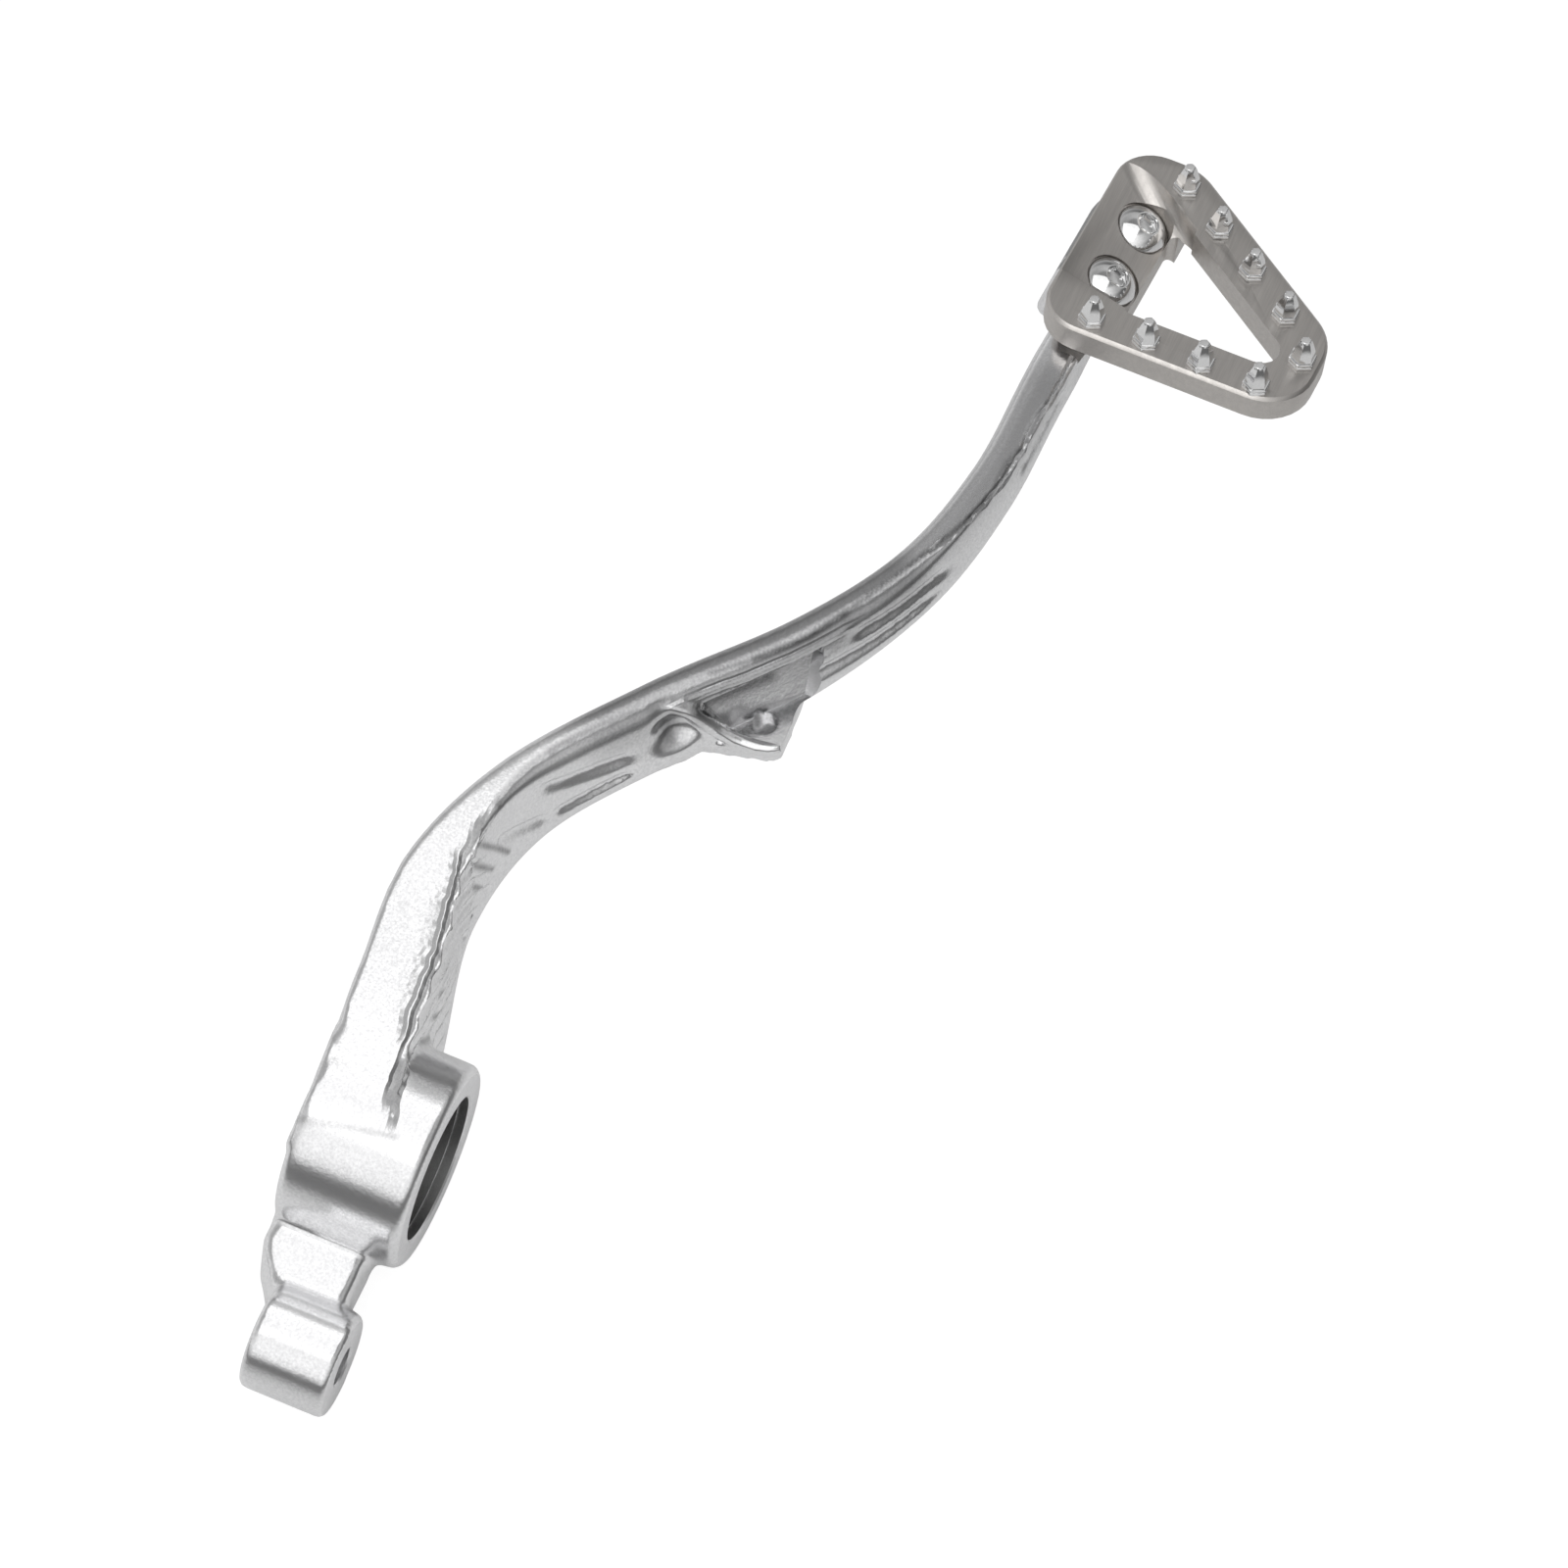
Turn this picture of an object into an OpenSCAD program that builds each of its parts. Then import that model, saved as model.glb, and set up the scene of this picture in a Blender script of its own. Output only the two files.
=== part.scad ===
// Rear brake pedal of an off-road motorcycle: a forged lever that turns on the frame pivot,
// a milled step plate screwed to its end, and nine grip spikes screwed into the plate.
// X runs forward from the pivot to the step, Y inboard along the pivot, Z up.
// The origin is the middle of the pivot bore.

/* [Pivot hub] */
// Outer diameter of the hub
hub_d = 43; // [40:0.2:48]
// Width of the hub along the pivot
hub_width = 26.4; // [22:0.2:30]
// Diameter of the bore that turns on the pivot bush
bore_d = 29; // [24:0.5:30]
// Step from the bore out to the seal seat at each mouth
seal_step = 0.6; // [0.3:0.1:1]
// Depth of each seal seat
seal_depth = 2.4; // [1.5:0.1:4]
// Rounding of the hub's rims
hub_round = 2.4; // [1:0.1:3]

/* [Push-rod end] */
// Distance of the push-rod hole behind the pivot
rod_back = 41.2; // [38:0.2:48]
// Distance of the push-rod hole below the pivot
rod_drop = 13.7; // [10:0.1:18]
// Outer diameter of the push-rod boss
rod_boss_d = 21.6; // [18:0.2:24]
// Width of the push-rod boss
rod_boss_width = 17.6; // [12:0.2:20]
// How far the boss's outer face stands back from the hub's
rod_boss_inset = 1.4; // [0:0.1:2]
// Diameter of the push-rod bolt's hole
rod_hole_d = 8; // [6:0.5:10]
// Rounding of the boss's rims
boss_round = 1.4; // [0.6:0.1:2]
// Height of the neck between hub and boss
neck_height = 14; // [11:0.5:16]
// How far the neck stands back from the hub's outer face
neck_inset = 5.4; // [3:0.2:8]

/* [Lever arm] */
// Distance from the pivot forward to the arm's end under the step
arm_reach = 232; // [222:1:242]
// Height of the arm's end above the pivot
arm_rise = 46; // [40:1:52]
// Drop of the arm's root below the pivot
arm_drop = 0; // [0:0.1:3]
// Turn of the arm and step against the pivot, outboard at the front
step_toe = 3.1; // [0:0.1:5]
// Tilt of the arm and step against the pivot, up at the outer side
step_roll = 3.4; // [0:0.1:5]
// Bow of the arm's side view, as a share of its rise
arm_bow = 0.18; // [0:0.02:0.3]
// Width of the arm at the hub
root_width = 16; // [14:0.2:18]
// Width of the arm at its middle
mid_width = 13; // [11:0.2:15]
// Width of the arm at the step
tip_width = 9.6; // [8:0.2:11]
// Flare of the arm's outer bottom edge into the hub
root_flare = 3; // [0:0.1:4]
// Height of the arm at the hub
root_height = 41; // [34:0.5:42]
// Height of the arm at the step
tip_height = 12; // [10:0.5:14]
// Rounding of the arm's edges at the hub
root_edge = 5.5; // [3:0.1:6]
// Rounding of the arm's edges at the step
tip_edge = 4; // [2:0.1:4.4]
// Rounding of the crease between top and outer face
crease_edge = 1.1; // [0.6:0.1:1.6]

/* [Flutes] */
// Spacing of the root flutes, square to their run
flute_pitch = 4.6; // [3.5:0.1:6]
// Slope of the root flutes to the arm
flute_angle = 35; // [25:1:45]
// Depth of the root flutes
flute_depth = 0.9; // [0.3:0.1:1.4]
// Where the root flutes end, forward of the pivot
flute_end = 68; // [50:1:80]
// Depth of the long grooves
groove_depth = 1.2; // [0.4:0.1:1.8]

/* [Lug] */
// Distance of the lug's frame forward of the pivot
lug_x = 112; // [105:0.5:118]
// Distance of the lug's hole along the arm in that frame
lug_hole_along = 9.1; // [8:0.1:10]
// Distance of the lug's hole out from the arm's middle
lug_hole_out = 6.8; // [6.2:0.1:7.4]
// Drop of the lug's floor below the arm's middle
lug_drop = 5; // [4:0.1:5.4]
// Thickness of the lug
lug_thickness = 3.7; // [3:0.1:4.5]
// Diameter of the lug's hole
lug_hole_d = 5.4; // [4:0.1:5.6]
// Depth of the lug's blind hole
lug_hole_depth = 2.4; // [1.2:0.1:2.6]
// Height of the lip along the lug's rear edge
lip_height = 1; // [0.4:0.1:2]
// Distance of the pocket's wall above the lug out from the arm's middle
lug_wall = 3; // [2:0.1:3.6]

/* [Step plate] */
// Height of the plate's top above the pivot
step_z = 57.5; // [56:0.5:62]
// Thickness of the plate's rim
rim_thickness = 6.1; // [5:0.1:7]
// Length of the plate fore and aft
plate_length = 54.9; // [50:0.1:60]
// Width of its blunt front end, up to the corner with the slanted edge
front_flat = 15.9; // [14:0.1:20]
// Width of the plate across the bike
plate_width = 58.8; // [54:0.2:64]
// Angle between the rear edge and the slanted front edge
plate_angle = 36.6; // [34:0.2:38]
// Radius of the plate's front inner corner
nose_radius = 8.5; // [6:0.5:10]
// Radius of the plate's outer corners
outer_radius = 11; // [6:0.5:12]
// Radius of the plate's rear inner corner
heel_radius = 9; // [5:0.5:10]
// Width of the rear bar
rear_bar = 9.4; // [8:0.2:11]
// Width of the slanted front bar
front_bar = 11.2; // [10:0.2:12.6]
// Radius of the window's corners
window_radius = 4.2; // [2:0.2:5]
// Bevel along the plate's top edge
plate_bevel = 0.7; // [0.2:0.1:1]

/* [Bolt flange] */
// Slope of the bolt flange, down towards the window
flange_tilt = 25; // [20:1:28]
// Width of the flange across the bike
flange_width = 15.7; // [14.6:0.1:17]
// Thickness of the flange
flange_thickness = 5; // [4:0.5:6]
// Radius of the milled scoop in front of the flange
scoop_radius = 4.5; // [3:0.1:5]
// Distance between the two screws
screw_pitch = 16.9; // [14:0.1:18]
// Thickness of the arm's pad under the flange
pad_thickness = 6.5; // [5:0.5:8]

/* [Screws and spikes] */
// Thread diameter of the flange screws
screw_d = 6; // [5:0.5:6]
// Length of the screws below the head
screw_length = 10; // [8:0.5:11]
// Diameter of the button heads
head_d = 11.6; // [10:0.1:12]
// Height of the button heads
head_height = 3.6; // [2.6:0.1:4]
// Hex socket across its flats
socket_flats = 4; // [3:0.5:4]
// Depth of the spot faces under the heads
spot_depth = 0.8; // [0.3:0.1:1.2]
// Spacing of the spikes along the rear bar
rear_pitch = 12.4; // [11.5:0.1:13]
// Spacing of the spikes along the front bar
front_pitch = 13.2; // [12:0.1:13.6]
// Height of a spike above the plate
spike_height = 6.8; // [6:0.2:9]
// Spike collar across its flats
collar_flats = 5.2; // [4.4:0.1:5.6]
// Height of the collar
collar_height = 1.7; // [1.2:0.1:2.2]
// Diameter of the spike's flat tip
tip_d = 2; // [1.2:0.1:2.4]
// Thread diameter of the spikes
spike_thread_d = 4; // [3:0.5:4]
// Length of the spike's thread in the plate
spike_thread_length = 5; // [3:0.5:6]
// Radial play of a thread in its hole
thread_play = 0.05; // [0.03:0.01:0.1]

/* [Hidden] */
// Arm path across the bike, at ten equal steps from the pivot to the arm's end
arm_line = [4.1, 8.6, 12.3, 6.1, -11.1, -31.4, -44.9, -50.2, -50.6, -51.2];
// Crease across the arm's top at the same steps: 1 is the outer side, 0 the middle
crease_line = [1, 1, 0.95, 0.1, -0.05, 0, 0.15, 0.45, 0.6, 0.6];
// Widths between root, middle and tip, as offsets from the value at their own step
waist_width = 0.84 * mid_width;
arm_widths = [root_width, 0.95 * root_width, waist_width, mid_width, 0.82 * mid_width, tip_width, 1.1 * tip_width];
arm_twist = flange_tilt;
twist_start = 0.9;
root_rings = 40;
far_rings = 60;
root_share = flute_end / arm_reach;
// Long grooves in the outer face: start and end along X, their places down the face, half width
grooves = [
    [79, 0.06, 98, 0.47, 2.2],
    [66.5, 0.36, 80, 0.79, 2.2],
    [80, 0.79, 96, 0.9, 2.0],
    [108, 0.2, 130, 0.26, 1.2],
    [126, 0.58, 158, 0.84, 1.7],
    [137, 0.02, 160, 0.42, 1.7],
    [184, 0.42, 210, 0.45, 1.8]
];
cup_place = [101.5, 0.42];
cup_half = 4.2;
cup_depth = 1.6;
boss_y = -hub_width / 2 + rod_boss_inset + rod_boss_width / 2;
flare_end = 52;
plate_rear = 212;
plate_inner = -44.1;
plate_outer = plate_inner - plate_width;
plate_bottom = step_z - rim_thickness;
window_inner = plate_inner - flange_width;
front_dir = [-sin(plate_angle), -cos(plate_angle)];
front_normal = [cos(plate_angle), -sin(plate_angle)];
front_corner = [plate_rear + plate_length, plate_inner - front_flat];
nose = front_corner - front_dir * front_flat / cos(plate_angle);
front_cut = (nose[1] - plate_outer) / cos(plate_angle);
front_outer = nose + front_cut * front_dir;
screw_y = -10.25 / cos(flange_tilt);
screw_x = [plate_rear + 20.5, plate_rear + 20.5 + screw_pitch];
flange_rear = plate_rear + rear_bar - 2.6;
pad_inset = 1.6;
corner_web = 2;
pocket_rear = plate_rear + rear_bar + 1;
wall_x = nose[0] - (front_bar - 1.25) / cos(plate_angle);
pad_top = -flange_thickness;
rear_spike_x = plate_rear + 3.9;
rear_spike_y = plate_inner - 11.5;
front_spike = front_corner + 3.6 * front_dir - front_normal * front_bar * 0.53;
apex_spike = [rear_spike_x + 10.2, plate_outer + 4];
spike_places = concat(
    [for (i = [0:3]) front_spike + i * front_pitch * front_dir],
    [apex_spike],
    [for (i = [3:-1:0]) [rear_spike_x - 0.26 * i, rear_spike_y - i * rear_pitch]]
);
spike_count = len(spike_places);
$fn = 48;

// Eased step from 0 to 1
function ease(t) = let (u = min(1, max(0, t))) u * u * (3 - 2 * u);

// Value of a smooth curve through equally spaced values, at t from 0 to 1
function spline(values, t) =
    let (
        last = len(values) - 1,
        i = min(last - 1, floor(t * last)),
        f = t * last - i,
        b = values[i],
        c = values[i + 1],
        a = i == 0 ? 2 * b - c : values[i - 1],
        d = i + 2 > last ? 2 * c - b : values[i + 2]
    )
    (2 * b + (c - a) * f + (2 * a - 5 * b + 4 * c - d) * f * f + (3 * b - a - 3 * c + d) * f * f * f) / 2;

// Arc of n + 1 points round a centre
function arc(centre, radius, from, to, n) =
    [for (i = [0:n]) let (a = from + (to - from) * i / n) centre + radius * [cos(a), sin(a)]];

// Polygon with each corner [x, y, radius] rounded by a true arc
function rounded(corners, n = 8) =
    [for (i = [0:len(corners) - 1])
        let (
            count = len(corners),
            p = corners[i],
            q = corners[(i + count - 1) % count],
            r = corners[(i + 1) % count],
            u = [q[0] - p[0], q[1] - p[1]] / norm([q[0] - p[0], q[1] - p[1]]),
            v = [r[0] - p[0], r[1] - p[1]] / norm([r[0] - p[0], r[1] - p[1]]),
            half = acos(u * v) / 2,
            centre = [p[0], p[1]] + (u + v) / norm(u + v) * p[2] / sin(half),
            start = centre - [p[0], p[1]],
            foot_u = [p[0], p[1]] + u * p[2] / tan(half) - centre,
            a0 = atan2(foot_u[1], foot_u[0]),
            foot_v = [p[0], p[1]] + v * p[2] / tan(half) - centre,
            turn = (atan2(foot_v[1], foot_v[0]) - a0 + 540) % 360 - 180
        )
        each arc(centre, p[2], a0, a0 + turn, n)
    ];

// Centre line of the arm and its sizes at t
function arm_point(t) = [
    arm_reach * t,
    spline(arm_line, t),
    arm_rise * (t + arm_bow * t * (1 - t)) - arm_drop
];
function arm_width(t) = spline(arm_widths, t);
function arm_height(t) = tip_height + (root_height - tip_height) * pow(1 - t, 2.5);
function arm_edge(t) = root_edge + (tip_edge - root_edge) * ease((t - 0.25) / 0.5);
function arm_lean(t) = arm_twist * ease((t - twist_start) / (1 - twist_start));

// Frame of a section: forward, outboard and up
function arm_axes(t) =
    let (
        step = 0.002,
        along = arm_point(min(1, t + step)) - arm_point(max(0, t - step)),
        forward = along / norm(along),
        side = cross(forward, [0, 0, 1]),
        out = side / norm(side),
        rise = cross(out, forward),
        lean = arm_lean(t)
    )
    [forward, out * cos(lean) - rise * sin(lean), rise * cos(lean) + out * sin(lean)];

// Depth of one groove at a place x along the arm and s down its outer face of length face
function groove_at(g, x, s, face) =
    let (
        a = [g[0], g[1] * face],
        b = [g[2], g[3] * face],
        p = [x, s],
        along = min(1, max(0, (p - a) * (b - a) / ((b - a) * (b - a)))),
        gap = norm(p - a - along * (b - a)) / g[4]
    )
    groove_depth * pow(max(0, 1 - gap * gap), 2);

// Depth of all the carving at that place
function carving(x, s, face) =
    let (
        q = (x * sin(flute_angle) - s * cos(flute_angle)) / flute_pitch,
        root = ease((x - 6) / 6) * ease((flute_end - x) / 10) * ease((face - s) / 3),
        cup_gap = norm([x - cup_place[0], s - cup_place[1] * face]) / cup_half
    )
    max(
        flute_depth * root * (0.5 - 0.5 * cos(360 * q)),
        cup_depth * pow(max(0, 1 - cup_gap * cup_gap), 2),
        max([for (g = grooves) groove_at(g, x, s, face)])
    );

// Section of the arm: [outboard, up] points round a box with a crease on its top
function arm_section(t) =
    let (
        x = arm_reach * t,
        w = arm_width(t),
        h = arm_height(t),
        c = spline(crease_line, t) * w / 2,
        r = min(arm_edge(t), w / 2 - 0.1),
        top_r = min(r, w / 2 + c - crease_edge - 0.2),
        flare = root_flare * pow(max(0, 1 - x / flare_end), 1.2),
        low = [w / 2 - r + flare, -h / 2 + r],
        high = [c - (c > 0.4 * w ? crease_edge : 0), h / 2 - crease_edge],
        span = high - low,
        face_angle = atan2(span[1], span[0]) - acos((r - crease_edge) / norm(span)),
        normal = [cos(face_angle), sin(face_angle)],
        foot = low + r * normal,
        head = high + crease_edge * normal,
        face = norm(head - foot),
        face_points = 11
    )
    concat(
        arc(low, r, -90, face_angle - (face_angle + 90) / 4, 3),
        [for (i = [0:face_points])
            let (s = face * (1 - i / face_points))
            foot + (head - foot) * i / face_points - normal * carving(x, s, face)
        ],
        arc(high, crease_edge, face_angle + (90 - face_angle) / 2, 90, 1),
        arc([-w / 2 + top_r, h / 2 - top_r], top_r, 90, 180, 4),
        arc([-w / 2 + 4, -h / 2 + 4], 4, 180, 270, 3)
    );

// Forged blade swept from the hub to the pad
module arm_blade() {
    steps = concat(
        [for (i = [0:root_rings - 1]) root_share * i / root_rings],
        [for (i = [0:far_rings]) root_share + (1 - root_share) * i / far_rings]
    );
    rings = [for (t = steps) let (axes = arm_axes(t), place = arm_point(t))
        [for (p = arm_section(t)) place + p[0] * axes[1] + p[1] * axes[2]]
    ];
    n = len(rings[0]);
    last = len(rings) - 1;
    points = [for (ring = rings) each ring];
    sides = [for (i = [0:last - 1]) for (j = [0:n - 1])
        let (a = i * n + j, b = i * n + (j + 1) % n)
        each [[a, b, b + n], [a, b + n, a + n]]
    ];
    root_cap = [[for (j = [n - 1:-1:0]) j]];
    tip_cap = [[for (j = [0:n - 1]) last * n + j]];
    polyhedron(points, concat(sides, root_cap, tip_cap));
}

// Barrel lying along Y with rounded rims, its middle at the origin
module barrel(d, width, edge) {
    r = d / 2;
    rotate([90, 0, 0])
        rotate_extrude()
            polygon(concat(
                [[0, -width / 2]],
                arc([r - edge, -width / 2 + edge], edge, -90, 0, 6),
                arc([r - edge, width / 2 - edge], edge, 0, 90, 6),
                [[0, width / 2]]
            ));
}

// Neck from the hub back to the push-rod boss
module rod_neck() {
    top = -rod_drop + neck_height * 0.58;
    low = top - neck_height;
    outer = -hub_width / 2 + neck_inset;
    inner = hub_width / 2 - 0.4;
    boss_inner = boss_y + rod_boss_width / 2 - 0.4;
    intersection() {
        rotate([90, 0, 0])
            linear_extrude(hub_width * 2, center = true)
                polygon(rounded([
                    [-8, top + 4, 2],
                    [-20, top + 1, 8],
                    [-rod_back + 6, top - 1.6, 8],
                    [-rod_back - 2, top - 3, 1],
                    [-rod_back - 2, low - 0.6, 1],
                    [-rod_back + 6, low - 0.4, 8],
                    [-14, low + 1, 6],
                    [-4, low + 8, 2]
                ], 6));
        translate([0, 0, -rod_drop])
            linear_extrude(hub_width * 2, center = true)
                polygon(rounded([
                    [-5, inner, 1],
                    [-26, inner, 10],
                    [-rod_back + 4, boss_inner, 8],
                    [-rod_back - 3, boss_inner, 1],
                    [-rod_back - 3, outer, 1],
                    [-5, outer, 1]
                ], 6));
    }
}

// Frame of the lug: its floor at local zero, sloping with the arm, X along the arm
module on_lug() {
    t = lug_x / arm_reach;
    axes = arm_axes(t);
    translate(arm_point(t))
        rotate([0, -asin(axes[0][2]), atan2(axes[0][1], axes[0][0])])
            translate([0, 0, -lug_drop])
                children();
}

// Side lug, its underside level with the arm's, with a raised lip along its rear edge
module arm_lug() {
    outline = [
        [-18, 3, 1],
        [-17, -5, 1.5],
        [-8, -5.6, 5],
        [-4.6, -5, 2],
        [8.4, -15.1, 2.6],
        [19, -4.4, 2],
        [20, 3, 1]
    ];
    floor_outline = [
        [-0.4, 4, 0.6],
        [0.4, -3.2, 1],
        [9.2, -12, 1],
        [14, -16, 1],
        [28, -6, 1],
        [24, 4, 1]
    ];
    on_lug()
        difference() {
            translate([0, 0, -lug_thickness])
                linear_extrude(lug_thickness + lip_height)
                    polygon(rounded(outline, 4));
            linear_extrude(lip_height * 2)
                polygon(rounded(floor_outline, 4));
        }
}

// Space cleared from the arm above the lug's floor: an upright inner wall and a rear one that leans back
module lug_pocket() {
    on_lug()
        translate([0, -lug_wall, 0])
            rotate([90, 0, 0])
                linear_extrude(20)
                    polygon([[1.4, 0], [-6.4, 11], [-6.4, 24], [30, 24], [24, 8], [20.5, 0]]);
}

// Blind hole in the lug
module lug_hole() {
    on_lug()
        translate([lug_hole_along, -lug_hole_out, -lug_hole_depth])
            cylinder(h = lug_hole_depth + lip_height * 3, d = lug_hole_d);
}

// Frame of the slanted bolt flange: its top plane at local zero, its inner edge along X
module on_flange() {
    translate([0, plate_inner, step_z])
        rotate([flange_tilt, 0, 0])
            children();
}

// Pad that the flange is screwed down on
module arm_pad() {
    back = flange_rear + 3;
    front = screw_x[1] + 10;
    outer = -(flange_width - 0.8) / cos(flange_tilt);
    intersection() {
        on_flange()
            translate([0, 0, pad_top - pad_thickness])
                linear_extrude(pad_thickness)
                    polygon(rounded([
                        [back, 4, 2],
                        [front, 4, 6],
                        [front, outer, 6],
                        [back, outer, 6]
                    ]));
        translate([0, 0, plate_bottom - 30])
            linear_extrude(60)
                plate_outline(pad_inset);
    }
}

// Frame of the arm and step, turned and tilted a little against the pivot
module on_step() {
    rotate([-step_roll, 0, -step_toe])
        children();
}

module brake_arm() {
    color("#c9cacb")
        difference() {
            union() {
                on_step() {
                    difference() {
                        arm_blade();
                        on_flange()
                            translate([plate_rear + 0.6, -60, pad_top])
                                cube([60, 120, 40]);
                        lug_pocket();
                    }
                    arm_pad();
                    arm_lug();
                }
                barrel(hub_d, hub_width, hub_round);
                rod_neck();
                translate([-rod_back, boss_y, -rod_drop])
                    barrel(rod_boss_d, rod_boss_width, boss_round);
            }
            on_step() {
                lug_hole();
                for (x = screw_x)
                    on_flange()
                        translate([x, screw_y, pad_top - pad_thickness * 2])
                            cylinder(h = pad_thickness * 3, d = screw_d + 2 * thread_play);
            }
            rotate([90, 0, 0]) {
                cylinder(h = hub_width * 2, d = bore_d, center = true, $fn = 96);
                for (side = [-1, 1])
                    translate([0, 0, side * (hub_width - seal_depth)])
                        cylinder(h = hub_width, d = bore_d + 2 * seal_step, center = true, $fn = 96);
            }
            translate([-rod_back, boss_y, -rod_drop])
                rotate([90, 0, 0])
                    cylinder(h = hub_width * 2, d = rod_hole_d, center = true);
        }
}

// Outline of the plate seen from above
function outline_points(inset = 0) =
    let (
        blunt = (1 - sin(plate_angle)) / cos(plate_angle),
        slant = (1 - cos(plate_angle)) / sin(plate_angle)
    )
    rounded([
        [plate_rear + inset, plate_inner - inset, heel_radius - inset],
        [plate_rear + inset, plate_outer + inset, outer_radius - inset],
        [front_outer[0] - inset * blunt, plate_outer + inset, outer_radius * 1.15 - inset],
        [front_corner[0] - inset, front_corner[1] + inset * slant, nose_radius * 1.6 - inset],
        [front_corner[0] - inset, plate_inner - inset, nose_radius - inset]
    ]);

module plate_outline(inset = 0) {
    polygon(outline_points(inset));
}

// Block with the plate's outline and its bevelled top edge, deep enough for the flange
module plate_blank() {
    wide = outline_points();
    narrow = outline_points(plate_bevel);
    n = len(wide);
    points = concat(
        [for (p = wide) [p[0], p[1], plate_bottom - 20]],
        [for (p = wide) [p[0], p[1], step_z - plate_bevel]],
        [for (p = narrow) [p[0], p[1], step_z]]
    );
    sides = [for (i = [0:1]) for (j = [0:n - 1])
        let (a = i * n + j, b = i * n + (j + 1) % n)
        each [[b, a, a + n], [b, a + n, b + n]]
    ];
    polyhedron(points, concat(sides, [[for (j = [0:n - 1]) j]], [[for (j = [n - 1:-1:0]) 2 * n + j]]));
}

// Window between the two bars and the flange
module plate_window() {
    rear = plate_rear + rear_bar;
    edge = nose - front_bar * front_normal;
    front = edge + (edge[1] - window_inner) / cos(plate_angle) * front_dir;
    apex = edge + (edge[0] - rear) / sin(plate_angle) * front_dir;
    polygon(rounded([
        [rear, window_inner, window_radius * 0.6],
        [rear, apex[1], window_radius],
        [front[0], front[1], window_radius * 0.4]
    ]));
}

// Milled pocket over the flange: its wall runs along the front bar, over a ball-ended fillet
module flange_pocket() {
    lean = sin(plate_angle) * sin(flange_tilt);
    upright = sqrt(1 - lean * lean);
    dip = atan(cos(plate_angle) * tan(flange_tilt));
    middle = [-scoop_radius, scoop_radius * (1 + lean) / upright];
    reach = 80;
    intersection() {
        translate([wall_x, plate_inner, step_z])
            rotate([dip, 0, -plate_angle])
                rotate([90, 0, 0])
                    linear_extrude(reach * 2, center = true)
                        polygon(concat(
                            [[-reach, reach * lean / upright]],
                            arc(middle, scoop_radius, atan2(-upright, -lean), 0, 10),
                            [[0, reach], [-reach, reach * 1.5]]
                        ));
        translate([0, 0, plate_bottom - 20])
            linear_extrude(60)
                polygon([
                    [pocket_rear + 5.2, plate_inner + 5],
                    [pocket_rear, window_inner - 1],
                    [pocket_rear, window_inner - 6],
                    [nose[0], window_inner - 6],
                    [nose[0], plate_inner + 5]
                ]);
    }
}

// Space that the plate fills: all above its underside, and the sloping flange below that
module plate_levels() {
    margin = 10;
    translate([plate_rear - margin, plate_outer - margin, plate_bottom])
        cube([plate_length + 2 * margin, plate_width + 2 * margin, rim_thickness + margin]);
    intersection() {
        on_flange()
            translate([flange_rear, -60, -flange_thickness])
                cube([plate_length, 80, 40]);
        translate([flange_rear - margin, window_inner - corner_web, plate_bottom - 20])
            cube([plate_length + 2 * margin, flange_width + margin, 20 + rim_thickness / 2]);
    }
}

module step_plate() {
    color("#a39e98")
        on_step()
            difference() {
                intersection() {
                    plate_blank();
                    plate_levels();
                }
                translate([0, 0, plate_bottom - 30])
                    linear_extrude(60)
                        plate_window();
                flange_pocket();
                for (x = screw_x)
                    on_flange()
                        translate([x, screw_y, 0]) {
                            translate([0, 0, -flange_thickness * 2])
                                cylinder(h = flange_thickness * 3, d = screw_d + 0.5);
                            translate([0, 0, -spot_depth])
                                cylinder(h = 12, d = head_d + 0.8);
                        }
                for (place = spike_places)
                    translate([place[0], place[1], step_z - spike_thread_length - 0.4])
                        cylinder(h = 20, d = spike_thread_d + 2 * thread_play);
            }
}

// Button-head screw with a hex socket, seated at the origin
module button_screw() {
    head_r = head_d / 2;
    rim = 0.5;
    dome = head_height - rim;
    crown_r = (head_r * head_r + dome * dome) / (2 * dome);
    difference() {
        union() {
            rotate_extrude()
                polygon(concat(
                    [[0, 0], [head_r, 0]],
                    arc([0, head_height - crown_r], crown_r, asin((crown_r - dome) / crown_r), 78, 8),
                    [[0, head_height - crown_r + crown_r * sin(78)]]
                ));
            translate([0, 0, -screw_length])
                cylinder(h = screw_length + 0.2, d = screw_d);
        }
        translate([0, 0, head_height * 0.35])
            cylinder(h = head_height, d = socket_flats / cos(30), $fn = 6);
    }
}

module flange_screw(x) {
    color("#d8d9da")
        on_step()
            on_flange()
                translate([x, screw_y, -spot_depth])
                    button_screw();
}

// Grip spike: threaded shank, grooved hex collar and a six-sided tapering body
module spike() {
    collar_d = collar_flats / cos(30);
    groove = 0.3;
    body = spike_height - collar_height;
    translate([0, 0, -spike_thread_length])
        cylinder(h = spike_thread_length + 0.2, d = spike_thread_d);
    cylinder(h = collar_height * 0.45, d = collar_d, $fn = 6);
    cylinder(h = collar_height, d = collar_d - 2 * groove, $fn = 6);
    translate([0, 0, collar_height * 0.6])
        cylinder(h = collar_height * 0.4, d = collar_d, $fn = 6);
    translate([0, 0, collar_height])
        cylinder(h = body * 0.3, d1 = collar_d * 0.86, d2 = collar_d * 0.8, $fn = 6);
    translate([0, 0, collar_height + body * 0.3])
        cylinder(h = body * 0.35, d1 = collar_d * 0.8, d2 = collar_d * 0.6, $fn = 6);
    translate([0, 0, collar_height + body * 0.65])
        cylinder(h = body * 0.35, d1 = collar_d * 0.6, d2 = tip_d, $fn = 6);
}

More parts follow.
